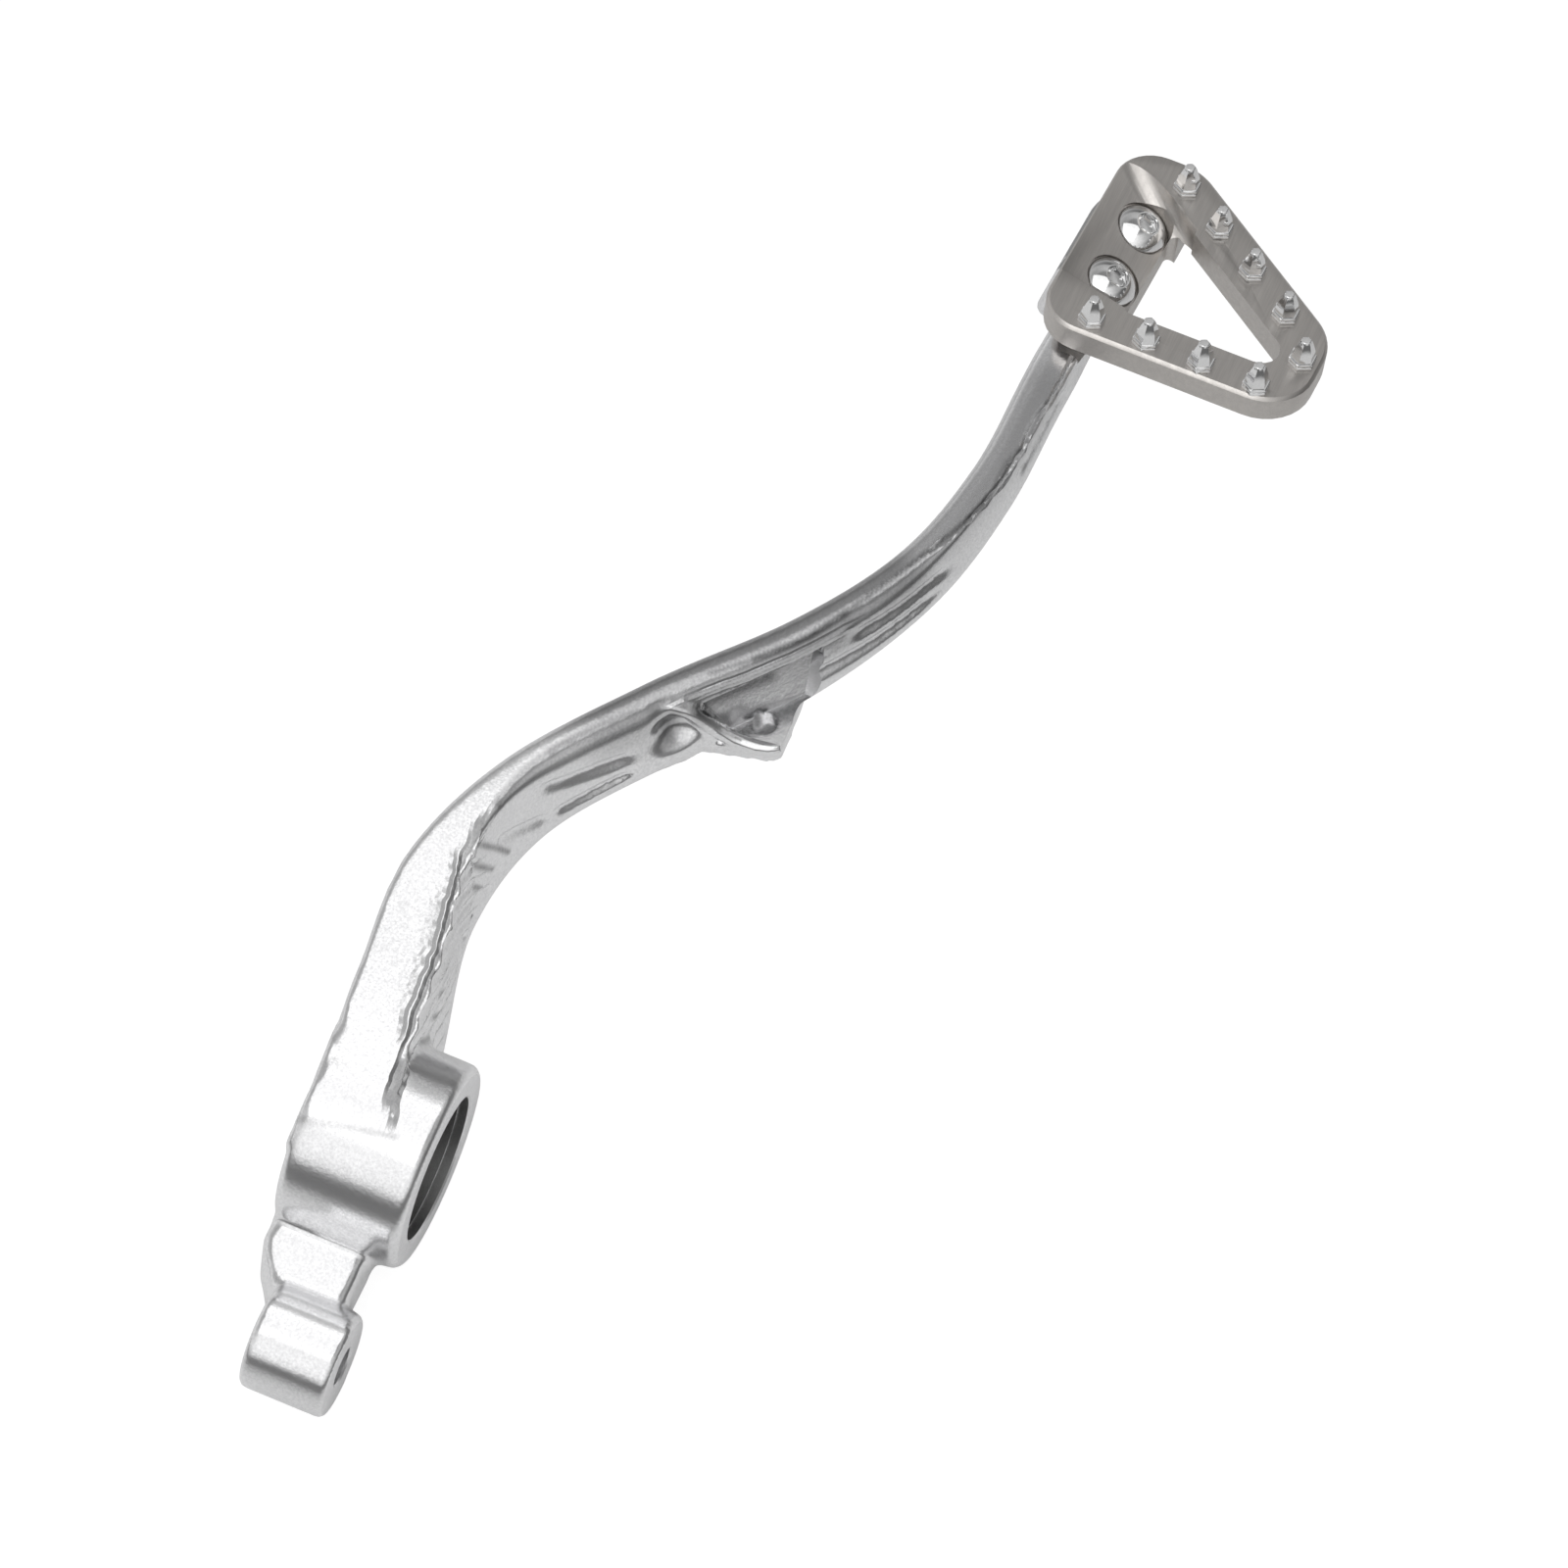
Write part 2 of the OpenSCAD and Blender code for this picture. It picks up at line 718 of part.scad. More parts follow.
module grip_spike(i) {
    color("#d2d3d4")
        on_step()
            translate([spike_places[i - 1][0], spike_places[i - 1][1], step_z])
                rotate([0, 0, 30])
                    spike();
}

brake_arm();
step_plate();
flange_screw(screw_x[1]);  // flange_screw_front
flange_screw(screw_x[0]);  // flange_screw_rear
for (i = [1:spike_count])
    grip_spike(i);
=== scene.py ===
import bmesh
import bpy
import numpy as np
from mathutils import Matrix, Vector


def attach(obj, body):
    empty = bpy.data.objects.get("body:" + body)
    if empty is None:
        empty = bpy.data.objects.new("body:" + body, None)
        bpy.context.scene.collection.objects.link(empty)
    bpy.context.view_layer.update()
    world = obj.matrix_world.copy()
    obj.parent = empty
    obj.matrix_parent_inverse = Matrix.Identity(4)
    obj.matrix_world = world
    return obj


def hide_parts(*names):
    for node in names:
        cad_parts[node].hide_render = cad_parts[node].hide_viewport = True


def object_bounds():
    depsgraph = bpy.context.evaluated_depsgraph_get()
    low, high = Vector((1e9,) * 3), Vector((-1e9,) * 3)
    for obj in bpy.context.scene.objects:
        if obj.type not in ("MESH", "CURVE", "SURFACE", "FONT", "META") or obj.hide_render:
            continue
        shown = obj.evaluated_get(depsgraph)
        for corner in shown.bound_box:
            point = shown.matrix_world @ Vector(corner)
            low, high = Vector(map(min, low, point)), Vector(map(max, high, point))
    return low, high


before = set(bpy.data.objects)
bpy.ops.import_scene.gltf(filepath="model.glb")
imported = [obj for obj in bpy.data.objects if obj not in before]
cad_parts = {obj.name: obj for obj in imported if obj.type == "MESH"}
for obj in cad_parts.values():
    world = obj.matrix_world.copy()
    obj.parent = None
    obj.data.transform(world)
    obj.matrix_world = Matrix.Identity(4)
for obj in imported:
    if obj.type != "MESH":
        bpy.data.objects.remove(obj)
cadLow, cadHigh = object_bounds()
print("stage: frame loaded")

mm = 0.001
# ends of the blade as shares of its reach: behind the pivot, and past its tip
bladeStart, bladeEnd = -0.06, 1.02


# Small tools on whole arrays of points, in millimetres

def easeStep(t):
    u = np.clip(t, 0.0, 1.0)
    return u * u * (3 - 2 * u)


def bumpNear(distance, reach):
    # 1 at no distance, falling smoothly to 0 at reach
    return np.clip(1 - (distance / reach) ** 2, 0, 1) ** 2


def splineAt(values, t):
    # smooth curve through equally spaced values
    v = np.asarray(values, float)
    last = len(v) - 1
    t = np.clip(t, bladeStart, 1)
    i = np.clip(np.floor(t * last).astype(int), 0, last - 1)
    f = t * last - i
    full = np.concatenate([[2 * v[0] - v[1]], v, [2 * v[-1] - v[-2]]])
    a, b, c, d = full[i], full[i + 1], full[i + 2], full[i + 3]
    square = 2 * a - 5 * b + 4 * c - d
    return (2 * b + (c - a) * f + square * f ** 2 + (3 * b - a - 3 * c + d) * f ** 3) / 2


def turned(axis, degrees):
    return np.array(Matrix.Rotation(np.radians(degrees), 3, axis))


def gridFaces(rows, cols):
    # quads of a tube of rows rings, each of cols points, closed round the ring
    a = np.arange(rows - 1)[:, None] * cols + np.arange(cols)[None, :]
    b = np.arange(rows - 1)[:, None] * cols + (np.arange(cols)[None, :] + 1) % cols
    return np.stack([a, b, b + cols, a + cols], -1).reshape(-1, 4)


def tubeSolid(rings):
    # closed solid from rings of points, each end closed by a fan round its middle
    rows, cols = rings.shape[:2]
    points = np.concatenate([rings.reshape(-1, 3), rings[0].mean(0)[None], rings[-1].mean(0)[None]])
    j = np.arange(cols)
    k = (j + 1) % cols
    start = np.stack([k, j, np.full(cols, rows * cols)], -1)
    top = (rows - 1) * cols
    end = np.stack([top + j, top + k, np.full(cols, rows * cols + 1)], -1)
    return points, gridFaces(rows, cols).tolist() + start.tolist() + end.tolist()


def latheRings(profile, segments, hexShare=None):
    # profile of [radius, height] turned round z; a share of 1 makes that ring a hexagon of that half width
    p = np.asarray(profile, float)
    a = np.arange(segments) * 2 * np.pi / segments
    share = np.zeros(len(p)) if hexShare is None else np.asarray(hexShare, float)
    hexagon = 1 / np.cos((a + np.pi / 6) % (np.pi / 3) - np.pi / 6)
    radius = p[:, :1] * (1 + share[:, None] * (hexagon[None, :] - 1))
    height = np.repeat(p[:, 1:2], segments, 1)
    return np.stack([radius * np.cos(a), radius * np.sin(a), height], -1)


def addMesh(name, points, faces):
    mesh = bpy.data.meshes.new(name)
    mesh.from_pydata((np.asarray(points) * mm).tolist(), [], faces)
    mesh.validate()
    piece = bpy.data.objects.new(name, mesh)
    bpy.context.scene.collection.objects.link(piece)
    return piece


def joined(shells):
    points, faces, base = [], [], 0
    for p, f in shells:
        points.append(p)
        faces += [[i + base for i in face] for face in f]
        base += len(p)
    return np.concatenate(points), faces


def baked(piece):
    # puts the result of the piece's modifiers into its mesh
    graph = bpy.context.evaluated_depsgraph_get()
    mesh = bpy.data.meshes.new_from_object(piece.evaluated_get(graph))
    old = piece.data
    piece.modifiers.clear()
    piece.data = mesh
    bpy.data.meshes.remove(old)


def meshPoints(mesh):
    co = np.empty(len(mesh.vertices) * 3, np.float32)
    mesh.vertices.foreach_get("co", co)
    return co.reshape(-1, 3).astype(float) / mm


def setPoints(mesh, points):
    mesh.vertices.foreach_set("co", (points * mm).astype(np.float32).ravel())
    mesh.update()


def relaxed(points, edges, weight, rounds):
    # each point moves towards the mean of its neighbours by its weight
    n = len(points)
    count = np.bincount(edges.ravel(), minlength=n)[:, None]
    for _ in range(rounds):
        total = np.stack([
            np.bincount(edges[:, 0], points[edges[:, 1], k], n)
            + np.bincount(edges[:, 1], points[edges[:, 0], k], n) for k in range(3)], 1)
        points = points + weight[:, None] * (total / count - points)
    return points


def cutWith(piece, points, faces):
    # takes a closed solid away from the piece
    cutter = addMesh("cutter", points, faces)
    step = piece.modifiers.new("cut", "BOOLEAN")
    step.operation = "DIFFERENCE"
    step.solver = "MANIFOLD"
    step.object = cutter
    baked(piece)
    bpy.data.objects.remove(cutter)


def smoothShaded(piece, degrees):
    mesh = piece.data
    mesh.polygons.foreach_set("use_smooth", np.ones(len(mesh.polygons), bool))
    mesh.set_sharp_from_angle(angle=np.radians(degrees))
    mesh.update()


# Lever: the sizes are those of the part's source

hubShape = {
    "d": 43.0, "width": 26.4, "bore": 29.0, "seatStep": 0.6, "seatDepth": 2.4, "round": 2.4,
    "mouthChamfer": 0.4, "spotRadius": 17.6, "faceRadius": 23.0,
}
rodShape = {
    "back": 41.2, "drop": 13.7, "bossD": 21.6, "bossWidth": 17.6, "bossInset": 1.4, "holeD": 8.0,
    "bossRound": 1.4, "neckHeight": 14.0, "neckInset": 5.4, "mouthChamfer": 0.35,
    "faceRadius": 14.0,
}
armShape = {
    "reach": 232.0, "rise": 46.0, "drop": 0.0, "bow": 0.18, "toe": 3.1, "roll": 3.4,
    "line": [4.1, 8.6, 12.3, 6.1, -11.1, -31.4, -44.9, -50.2, -50.6, -51.2],
    "crease": [1, 1, 0.95, 0.1, -0.05, 0, 0.15, 0.45, 0.6, 0.6],
    "widths": [16.0, 15.2, 10.92, 13.0, 10.66, 9.6, 10.56],
    "rootFlare": 3.0, "flareEnd": 52.0, "rootHeight": 41.0, "tipHeight": 12.0,
    "rootEdge": 5.5, "tipEdge": 4.0, "creaseEdge": 1.1, "lowEdge": 4.0, "lean": 25.0, "leanStart": 0.9,
    "rings": 460, "runBack": 11.0, "rootLift": 1.4, "liftRun": [50, 45], "overHub": 0.4, "sink": 1.3,
    "innerEdge": 1.4, "innerRun": [40, 70], "innerFlare": 0.7, "innerFlareEnd": 24, "innerSpread": 0.15,
    # the crease is rounder in between: start and end, each with the length of its run
    "softEdge": 5.2, "softFrom": [62, 26], "softTo": [176, 40], "softShift": 0.45,
}
carveShape = {
    "pitch": 4.6, "angle": 35.0, "depth": 1.0, "start": 6, "startRun": 6, "end": 68.0, "endRun": 10,
    "edgeRun": 3, "sharpness": 0.8, "sway": 0.18,
    # size, pitch and shift of the waves that the flutes sway by
    "waves": [[0.35, 0.23, 0.0], [0.25, 0.61, 1.3]],
    "grooveDepth": 1.1, "stepFrom": -0.9, "stepRun": 1.5, "rampFrom": 0.6, "fadeIn": [0.16, 0.3],
    "fadeOut": [0.3, 0.2],
    # start and end along the arm, places down the face, width of the ramp below the step
    "grooves": [
        [79, 0.06, 98, 0.47, 2.8], [66.5, 0.36, 80, 0.79, 2.8], [80, 0.79, 97, 0.9, 2.2], [106, 0.2, 132, 0.27, 1.2],
        [126, 0.58, 158, 0.84, 2.2], [137, 0.02, 162, 0.42, 2.2], [184, 0.42, 210, 0.45, 2.0],
    ],
    "cup": [104.3, 0.46], "cupHalf": 5.6, "cupDepth": 2.6,
}
lugShape = {
    "x": 112.0, "holeAlong": 9.1, "holeOut": 6.8, "drop": 5.0, "thick": 3.7, "holeD": 5.4, "holeDepth": 2.4,
    "outline": [[-18, 3], [-17, -5], [-8, -5.6], [-4.6, -5], [8.4, -15.1], [19, -4.4], [20, 3]],
    "corners": [1, 1.5, 5, 2, 2.6, 2, 1],
    # crest of the lip: along, out, height over the floor and radius
    "lip": [[9.3, -13.9, 0.1, 1.0], [7.2, -13.2, 0.2, 1.2], [4.6, -11.2, 0.3, 1.35], [1.6, -8.4, 1.4, 1.5],
            [-1.2, -6.0, 4.0, 1.6], [-3.4, -4.6, 7.0, 1.6], [-5.9, -3.0, 10.0, 1.6], [-9.8, -0.8, 11.6, 1.4],
            [-13.5, 0.6, 11.8, 1.0]],
    "pocketLow": [[1.6, -4.6], [9.2, -13.0], [13, -17.6], [24, -11], [19.5, -4.0]],
    "pocketHigh": [[-3.4, -0.6], [3.2, -13.0], [7, -17.6], [28, -11], [25, 0.6]],
}
plateShape = {
    "z": 57.5, "rear": 212.0, "inner": -44.1, "length": 54.9, "flat": 15.9, "width": 58.8, "angle": 36.6,
    "tilt": 25.0, "flange": 15.7, "flangeThick": 5.0, "pad": 6.5, "screws": [232.5, 249.4],
    "screwAcross": -11.31, "holeD": 6.1,
}

# the middle of the push-rod boss across the part
bossY = -hubShape["width"] / 2 + rodShape["bossInset"] + rodShape["bossWidth"] / 2
stepTurn = turned("Z", -armShape["toe"]) @ turned("X", -armShape["roll"])


def onStep(points):
    return np.asarray(points) @ stepTurn.T


def onFlange(points):
    # from the slanted flange's frame to the step's frame
    p = np.asarray(points) @ turned("X", plateShape["tilt"]).T
    return p + np.array([0, plateShape["inner"], plateShape["z"]])


def armPoint(t):
    a = armShape
    height = a["rise"] * (t + a["bow"] * t * (1 - t)) - a["drop"]
    return np.stack([a["reach"] * t, splineAt(a["line"], t), height], -1)


def armAxes(t):
    # forward, outboard and up at each t; the section leans over near the step
    a = armShape
    along = armPoint(np.minimum(1, t + 0.002)) - armPoint(np.maximum(bladeStart, t - 0.002))
    forward = along / np.linalg.norm(along, axis=-1, keepdims=True)
    out = np.cross(forward, [0, 0, 1])
    out /= np.linalg.norm(out, axis=-1, keepdims=True)
    up = np.cross(out, forward)
    lean = np.radians(a["lean"] * easeStep((t - a["leanStart"]) / (1 - a["leanStart"])))[..., None]
    return forward, out * np.cos(lean) - up * np.sin(lean), up * np.cos(lean) + out * np.sin(lean)


def carving(x, s, face):
    # depth cut into the outer face: slanted flutes at the root, long grooves, and a cup before the lug
    c = carveShape
    slope = np.radians(c["angle"])
    wobble = sum(size * np.sin(x * pitch + shift) for size, pitch, shift in c["waves"])
    q = (x * np.sin(slope) - s * np.cos(slope)) / c["pitch"] + c["sway"] * wobble
    root = easeStep((x - c["start"]) / c["startRun"]) * easeStep((c["end"] - x) / c["endRun"])
    root = root * easeStep((face - s) / c["edgeRun"])
    depth = c["depth"] * root * (0.5 - 0.5 * np.cos(2 * np.pi * q)) ** c["sharpness"]
    across = np.hypot(x - c["cup"][0], s - c["cup"][1] * face) / c["cupHalf"]
    depth = np.maximum(depth, c["cupDepth"] * np.clip(1 - across ** 2, 0, 1) ** 2)
    for x0, s0, x1, s1, wide in c["grooves"]:
        bx, by = x1 - x0, (s1 - s0) * face
        length = np.hypot(bx, by)
        px, py = x - x0, s - s0 * face
        along = (px * bx + py * by) / length ** 2
        across = (py * bx - px * by) / length
        step = easeStep((across - c["stepFrom"]) / c["stepRun"])
        step = step * np.clip(1 - (across - c["rampFrom"]) / wide, 0, 1)
        (inRun, inShift), (outRun, outShift) = c["fadeIn"], c["fadeOut"]
        ends = easeStep(along / inRun + inShift) * easeStep((1 - along) / outRun + outShift)
        depth = np.maximum(depth, c["grooveDepth"] * step * ends)
    return depth


def arcRun(cx, cz, r, a0, a1, n):
    # n steps of an arc in each section, from a0 to a1 degrees
    k = np.linspace(0, 1, n + 1)
    a = np.radians(a0[:, None] + (a1 - a0)[:, None] * k)
    return np.stack([cx[:, None] + r[:, None] * np.cos(a), cz[:, None] + r[:, None] * np.sin(a)], -1)


def lineRun(p, q, n):
    # n points between p and q in each section, without the ends
    k = (np.arange(n) + 1) / (n + 1)
    return p[:, None, :] + (q - p)[:, None, :] * k[None, :, None]


def armSizes(t):
    # width, height, crease place, crease rounding and top height at each t
    a = armShape
    x = a["reach"] * t
    w = splineAt(a["widths"], t)
    h = a["tipHeight"] + (a["rootHeight"] - a["tipHeight"]) * (1 - t) ** 2.5
    c = splineAt(a["crease"], t) * w / 2
    (start, startRun), (end, endRun) = a["softFrom"], a["softTo"]
    soft = easeStep((x - start) / startRun) * easeStep((end - x) / endRun)
    ce = a["creaseEdge"] + (a["softEdge"] - a["creaseEdge"]) * soft
    c = c - a["softShift"] * (ce - a["creaseEdge"])
    top = h / 2 + a["rootLift"] * easeStep((a["liftRun"][0] - x) / a["liftRun"][1])
    # behind the pivot the top follows the barrel and sinks into it
    middle, up = armPoint(t)[..., ::2], armAxes(t)[2][..., ::2]
    up = up / np.linalg.norm(up, axis=-1, keepdims=True)
    lean = np.sum(middle * up, -1)
    over = hubShape["d"] / 2 + a["overHub"] - a["sink"] * easeStep(-x / a["runBack"])
    barrel = np.sqrt(np.maximum(1, over ** 2 - np.sum(middle ** 2, -1) + lean ** 2)) - lean
    return w, h, c, ce, np.where(x < 0, barrel, top)


def armSections(t):
    # a box with rounded edges whose top has a crease; the outer face below the crease is carved
    a = armShape
    x = a["reach"] * t
    one = np.ones_like(t)
    w, h, c, ce, top = armSizes(t)
    edge = a["rootEdge"] + (a["tipEdge"] - a["rootEdge"]) * easeStep((t - 0.25) / 0.5)
    r = np.minimum(edge, w / 2 - 0.1)
    start, run = a["innerRun"]
    innerEdge = a["innerEdge"] + (a["tipEdge"] - a["innerEdge"]) * easeStep((x - start) / run)
    # a crease at the very edge gives its place to its own rounding
    crease = c - np.where(c > 0.4 * w, ce, 0)
    topR = np.minimum(innerEdge, w / 2 + crease - 0.2)
    flare = a["rootFlare"] * np.maximum(0, 1 - x / a["flareEnd"]) ** 1.2
    low = np.stack([w / 2 - r + flare, -h / 2 + r], -1)
    high = np.stack([crease, top - ce], -1)
    span = high - low
    length = np.linalg.norm(span, axis=-1)
    angle = np.degrees(np.arctan2(span[:, 1], span[:, 0]))
    angle = angle - np.degrees(np.arccos((r - ce) / length))
    normal = np.stack([np.cos(np.radians(angle)), np.sin(np.radians(angle))], -1)
    foot = low + r[:, None] * normal
    head = high + ce[:, None] * normal
    face = np.linalg.norm(head - foot, axis=-1)
    k = np.linspace(0, 1, 64)
    s = face[:, None] * (1 - k)
    depth = carving(x[:, None], s, face[:, None])
    faceRun = foot[:, None] + (head - foot)[:, None] * k[None, :, None]
    faceRun = faceRun - normal[:, None] * depth[..., None]
    rim = arcRun(high[:, 0], high[:, 1], ce, angle, 90 * one, 8)[:, 1:]
    fade = np.linspace(0.85, 0, rim.shape[1])
    rim = rim - normal[:, None] * (depth[:, -1:, None] * fade[None, :, None])
    inner = w / 2 + a["innerFlare"] * easeStep((a["innerFlareEnd"] - x) / a["innerFlareEnd"])
    inner = inner + a["innerSpread"] * np.maximum(0, -x)
    topArc = arcRun(-inner + topR, top - topR, topR, 90 * one, 180 * one, 12)
    lowR = a["lowEdge"]
    lowArc = arcRun(-inner + lowR, -h / 2 + lowR, lowR * one, 180 * one, 270 * one, 8)
    first = arcRun(low[:, 0], low[:, 1], r, -90 * one, angle, 12)[:, :-1]
    return np.concatenate([
        first, faceRun, rim, lineRun(rim[:, -1], topArc[:, 0], 14), topArc,
        lineRun(topArc[:, -1], lowArc[:, 0], 14), lowArc, lineRun(lowArc[:, -1], first[:, 0], 8)], 1)


def bladeShell():
    t = np.linspace(-armShape["runBack"] / armShape["reach"], 1, armShape["rings"])
    section = armSections(t)
    forward, out, up = armAxes(t)
    rings = armPoint(t)[:, None] + section[..., :1] * out[:, None] + section[..., 1:] * up[:, None]
    return tubeSolid(onStep(rings))


def barrelShell(d, width, edge, place):
    # barrel along y with rounded rims
    a = np.radians(np.linspace(-90, 0, 9))
    low = np.stack([d / 2 - edge + edge * np.cos(a), -width / 2 + edge + edge * np.sin(a)], -1)
    body = np.stack([np.full(30, d / 2), np.linspace(-width / 2 + edge, width / 2 - edge, 32)[1:-1]], -1)
    high = low[::-1] * [1, -1]
    rings = latheRings(np.concatenate([low, body, high]), 128) @ turned("X", 90).T
    return tubeSolid(rings + np.asarray(place))


def boxRings(low, high, edge, n=6):
    # rounded rectangles in y and z; low, high: arrays of [y, z]
    a = np.radians(np.concatenate([np.linspace(q, q + 90, n + 1) for q in (0, 90, 180, 270)]))
    sy = np.repeat([1, -1, -1, 1], n + 1)
    sz = np.repeat([1, 1, -1, -1], n + 1)
    mid, half = (low + high) / 2, (high - low) / 2
    y = mid[:, :1] + sy * (half[:, :1] - edge) + edge * np.cos(a)
    z = mid[:, 1:] + sz * (half[:, 1:] - edge) + edge * np.sin(a)
    return y, z


def neckShell():
    # box whose four sides wander as it runs back from the hub to the boss
    r, h = rodShape, hubShape
    top = -r["drop"] + r["neckHeight"] * 0.58
    low = top - r["neckHeight"]
    x = np.linspace(-4, -r["back"] - 2, 90)
    stops = -np.array([4, 12, 20, 26, 31, 35, 39, 44.0])
    at = lambda values: np.interp(-x, -stops, values)
    eased = lambda v: np.convolve(np.pad(v, 6, "edge"), np.ones(13) / 13, "valid")
    zTop = eased(at([top + 5, top + 3.0, top + 1.0, top + 0.2, top - 0.8, top - 1.5, top - 2.3, top - 3]))
    zLow = eased(at([low + 8, low + 2.0, low + 0.6, low + 0.2, low, low - 0.2, low - 0.4, low - 0.5]))
    yHigh = eased(at([h["width"] / 2 - 0.4] * 4 + [9.6, 6.9, 5.6, 5.4]))
    yLow = np.full_like(x, -h["width"] / 2 + r["neckInset"])
    y, z = boxRings(np.stack([yLow, zLow], -1), np.stack([yHigh, zTop], -1), 2.2)
    rings = np.stack([np.repeat(x[:, None], y.shape[1], 1), y, z], -1)
    return tubeSolid(rings[::-1])


def roundedOutline(corners, radii, n=8):
    # polygon with each corner replaced by an arc that meets both sides
    p = np.asarray(corners, float)
    runs = []
    for i in range(len(p)):
        u = p[i - 1] - p[i]
        v = p[(i + 1) % len(p)] - p[i]
        u, v = u / np.linalg.norm(u), v / np.linalg.norm(v)
        half = np.arccos(u @ v) / 2
        mid = p[i] + (u + v) / np.linalg.norm(u + v) * radii[i] / np.sin(half)
        foot = p[i] + u * radii[i] / np.tan(half) - mid
        other = p[i] + v * radii[i] / np.tan(half) - mid
        a0 = np.arctan2(foot[1], foot[0])
        turn = (np.arctan2(other[1], other[0]) - a0 + 3 * np.pi) % (2 * np.pi) - np.pi
        a = a0 + turn * np.linspace(0, 1, n + 1)
        runs.append(mid + radii[i] * np.stack([np.cos(a), np.sin(a)], -1))
    return np.concatenate(runs)


def runsClockwise(flat):
    return np.sum(flat[:, 0] * np.roll(flat[:, 1], -1) - flat[:, 1] * np.roll(flat[:, 0], -1)) < 0


def prismShell(outline, low, high, place):
    # upright prism over an outline, then put in place
    flat = np.asarray(outline)
    if runsClockwise(flat):
        flat = flat[::-1]
    rings = np.stack([np.column_stack([flat, np.full(len(flat), z)]) for z in (low, high)])
    return tubeSolid(place(rings))


def padShell():
    # the seat that the plate is screwed on, its underside drawn in and rounded
    p = plateShape
    back, front = p["rear"] + 9.8, p["screws"][1] + 10
    outer = -(p["flange"] - 0.8) / np.cos(np.radians(p["tilt"]))
    outline = roundedOutline([[back, -1.4], [front, -1.4], [front, outer], [back, outer]], [2, 6, 6, 5])
    rings = []
    mid = outline.mean(0)
    # size of the outline and share of the height; the top is 0.4 mm too high and is cut flat later
    for k, z in ((0.86, 0.0), (0.95, 0.12), (1.0, 0.3), (1.0, 1.0)):
        flat = mid + (outline - mid) * [k ** 0.5, k]
        height = -p["flangeThick"] - p["pad"] * (1 - z) + 0.4 * (z == 1)
        rings.append(np.column_stack([flat, np.full(len(flat), height)]))
    rings = np.stack(rings)
    if runsClockwise(rings[0][:, :2]):
        rings = rings[:, ::-1]
    return tubeSolid(onStep(onFlange(rings)))


def lugPlace(points):
    # from the lug's frame, its floor at 0, to the part's frame
    t = np.array([lugShape["x"] / armShape["reach"]])
    forward, out, up = armAxes(t)
    rise = np.degrees(np.arcsin(forward[0, 2]))
    turn = np.degrees(np.arctan2(forward[0, 1], forward[0, 0]))
    local = np.asarray(points) - [0, 0, lugShape["drop"]]
    return onStep(local @ (turned("Z", turn) @ turned("Y", -rise)).T + armPoint(t)[0])


def tubeAlong(path, radius, sides=20):
    # round tube along a path of points, as wide as radius says at each
    p = np.asarray(path, float)
    t = np.linspace(0, 1, 60)
    line = np.stack([splineAt(p[:, k], t) for k in range(3)], -1)
    r = splineAt(radius, t)
    forward = np.gradient(line, axis=0)
    forward /= np.linalg.norm(forward, axis=1, keepdims=True)
    out = np.cross(forward, [0, 0, 1])
    out /= np.linalg.norm(out, axis=1, keepdims=True)
    up = np.cross(out, forward)
    a = np.arange(sides) * 2 * np.pi / sides
    ring = np.cos(a)[None, :, None] * out[:, None] + np.sin(a)[None, :, None] * up[:, None]
    return line[:, None] + r[:, None, None] * ring


def lugShells():
    g = lugShape
    base = prismShell(roundedOutline(g["outline"], g["corners"]), -g["thick"], 0, lugPlace)
    lip = np.asarray(g["lip"], float)
    return [base, tubeSolid(lugPlace(tubeAlong(lip[:, :3], lip[:, 3])))]


def pocketShell():
    # the space cleared from the blade above the lug's floor, its ends leaning outwards
    g = lugShape
    rings = [np.column_stack([np.asarray(outline, float), np.full(len(outline), z)])
             for outline, z in ((g["pocketLow"], -0.3), (g["pocketHigh"], 10.0))]
    return tubeSolid(lugPlace(np.stack(rings)))


def latheSolid(profile, segments, place):
    return tubeSolid(place(latheRings(profile, segments)))


def alongBore(x, y, z):
    # profile heights run towards -y from the given point
    return lambda rings: rings @ turned("X", 90).T + np.array([x, y, z])


# how far a cutter reaches past the face it cuts, and the radius that its ends are closed from
cutShape = {"boreReach": 8, "faceReach": 6.0, "core": 0.5, "half": 60, "length": 80, "height": 40}


def faceProfile(radius, flare=0.0):
    # profile of a cutter that leaves a flat face
    core, reach = cutShape["core"], cutShape["faceReach"]
    return [[core, 0.0], [radius, 0.0], [radius + flare, reach], [core, reach]]


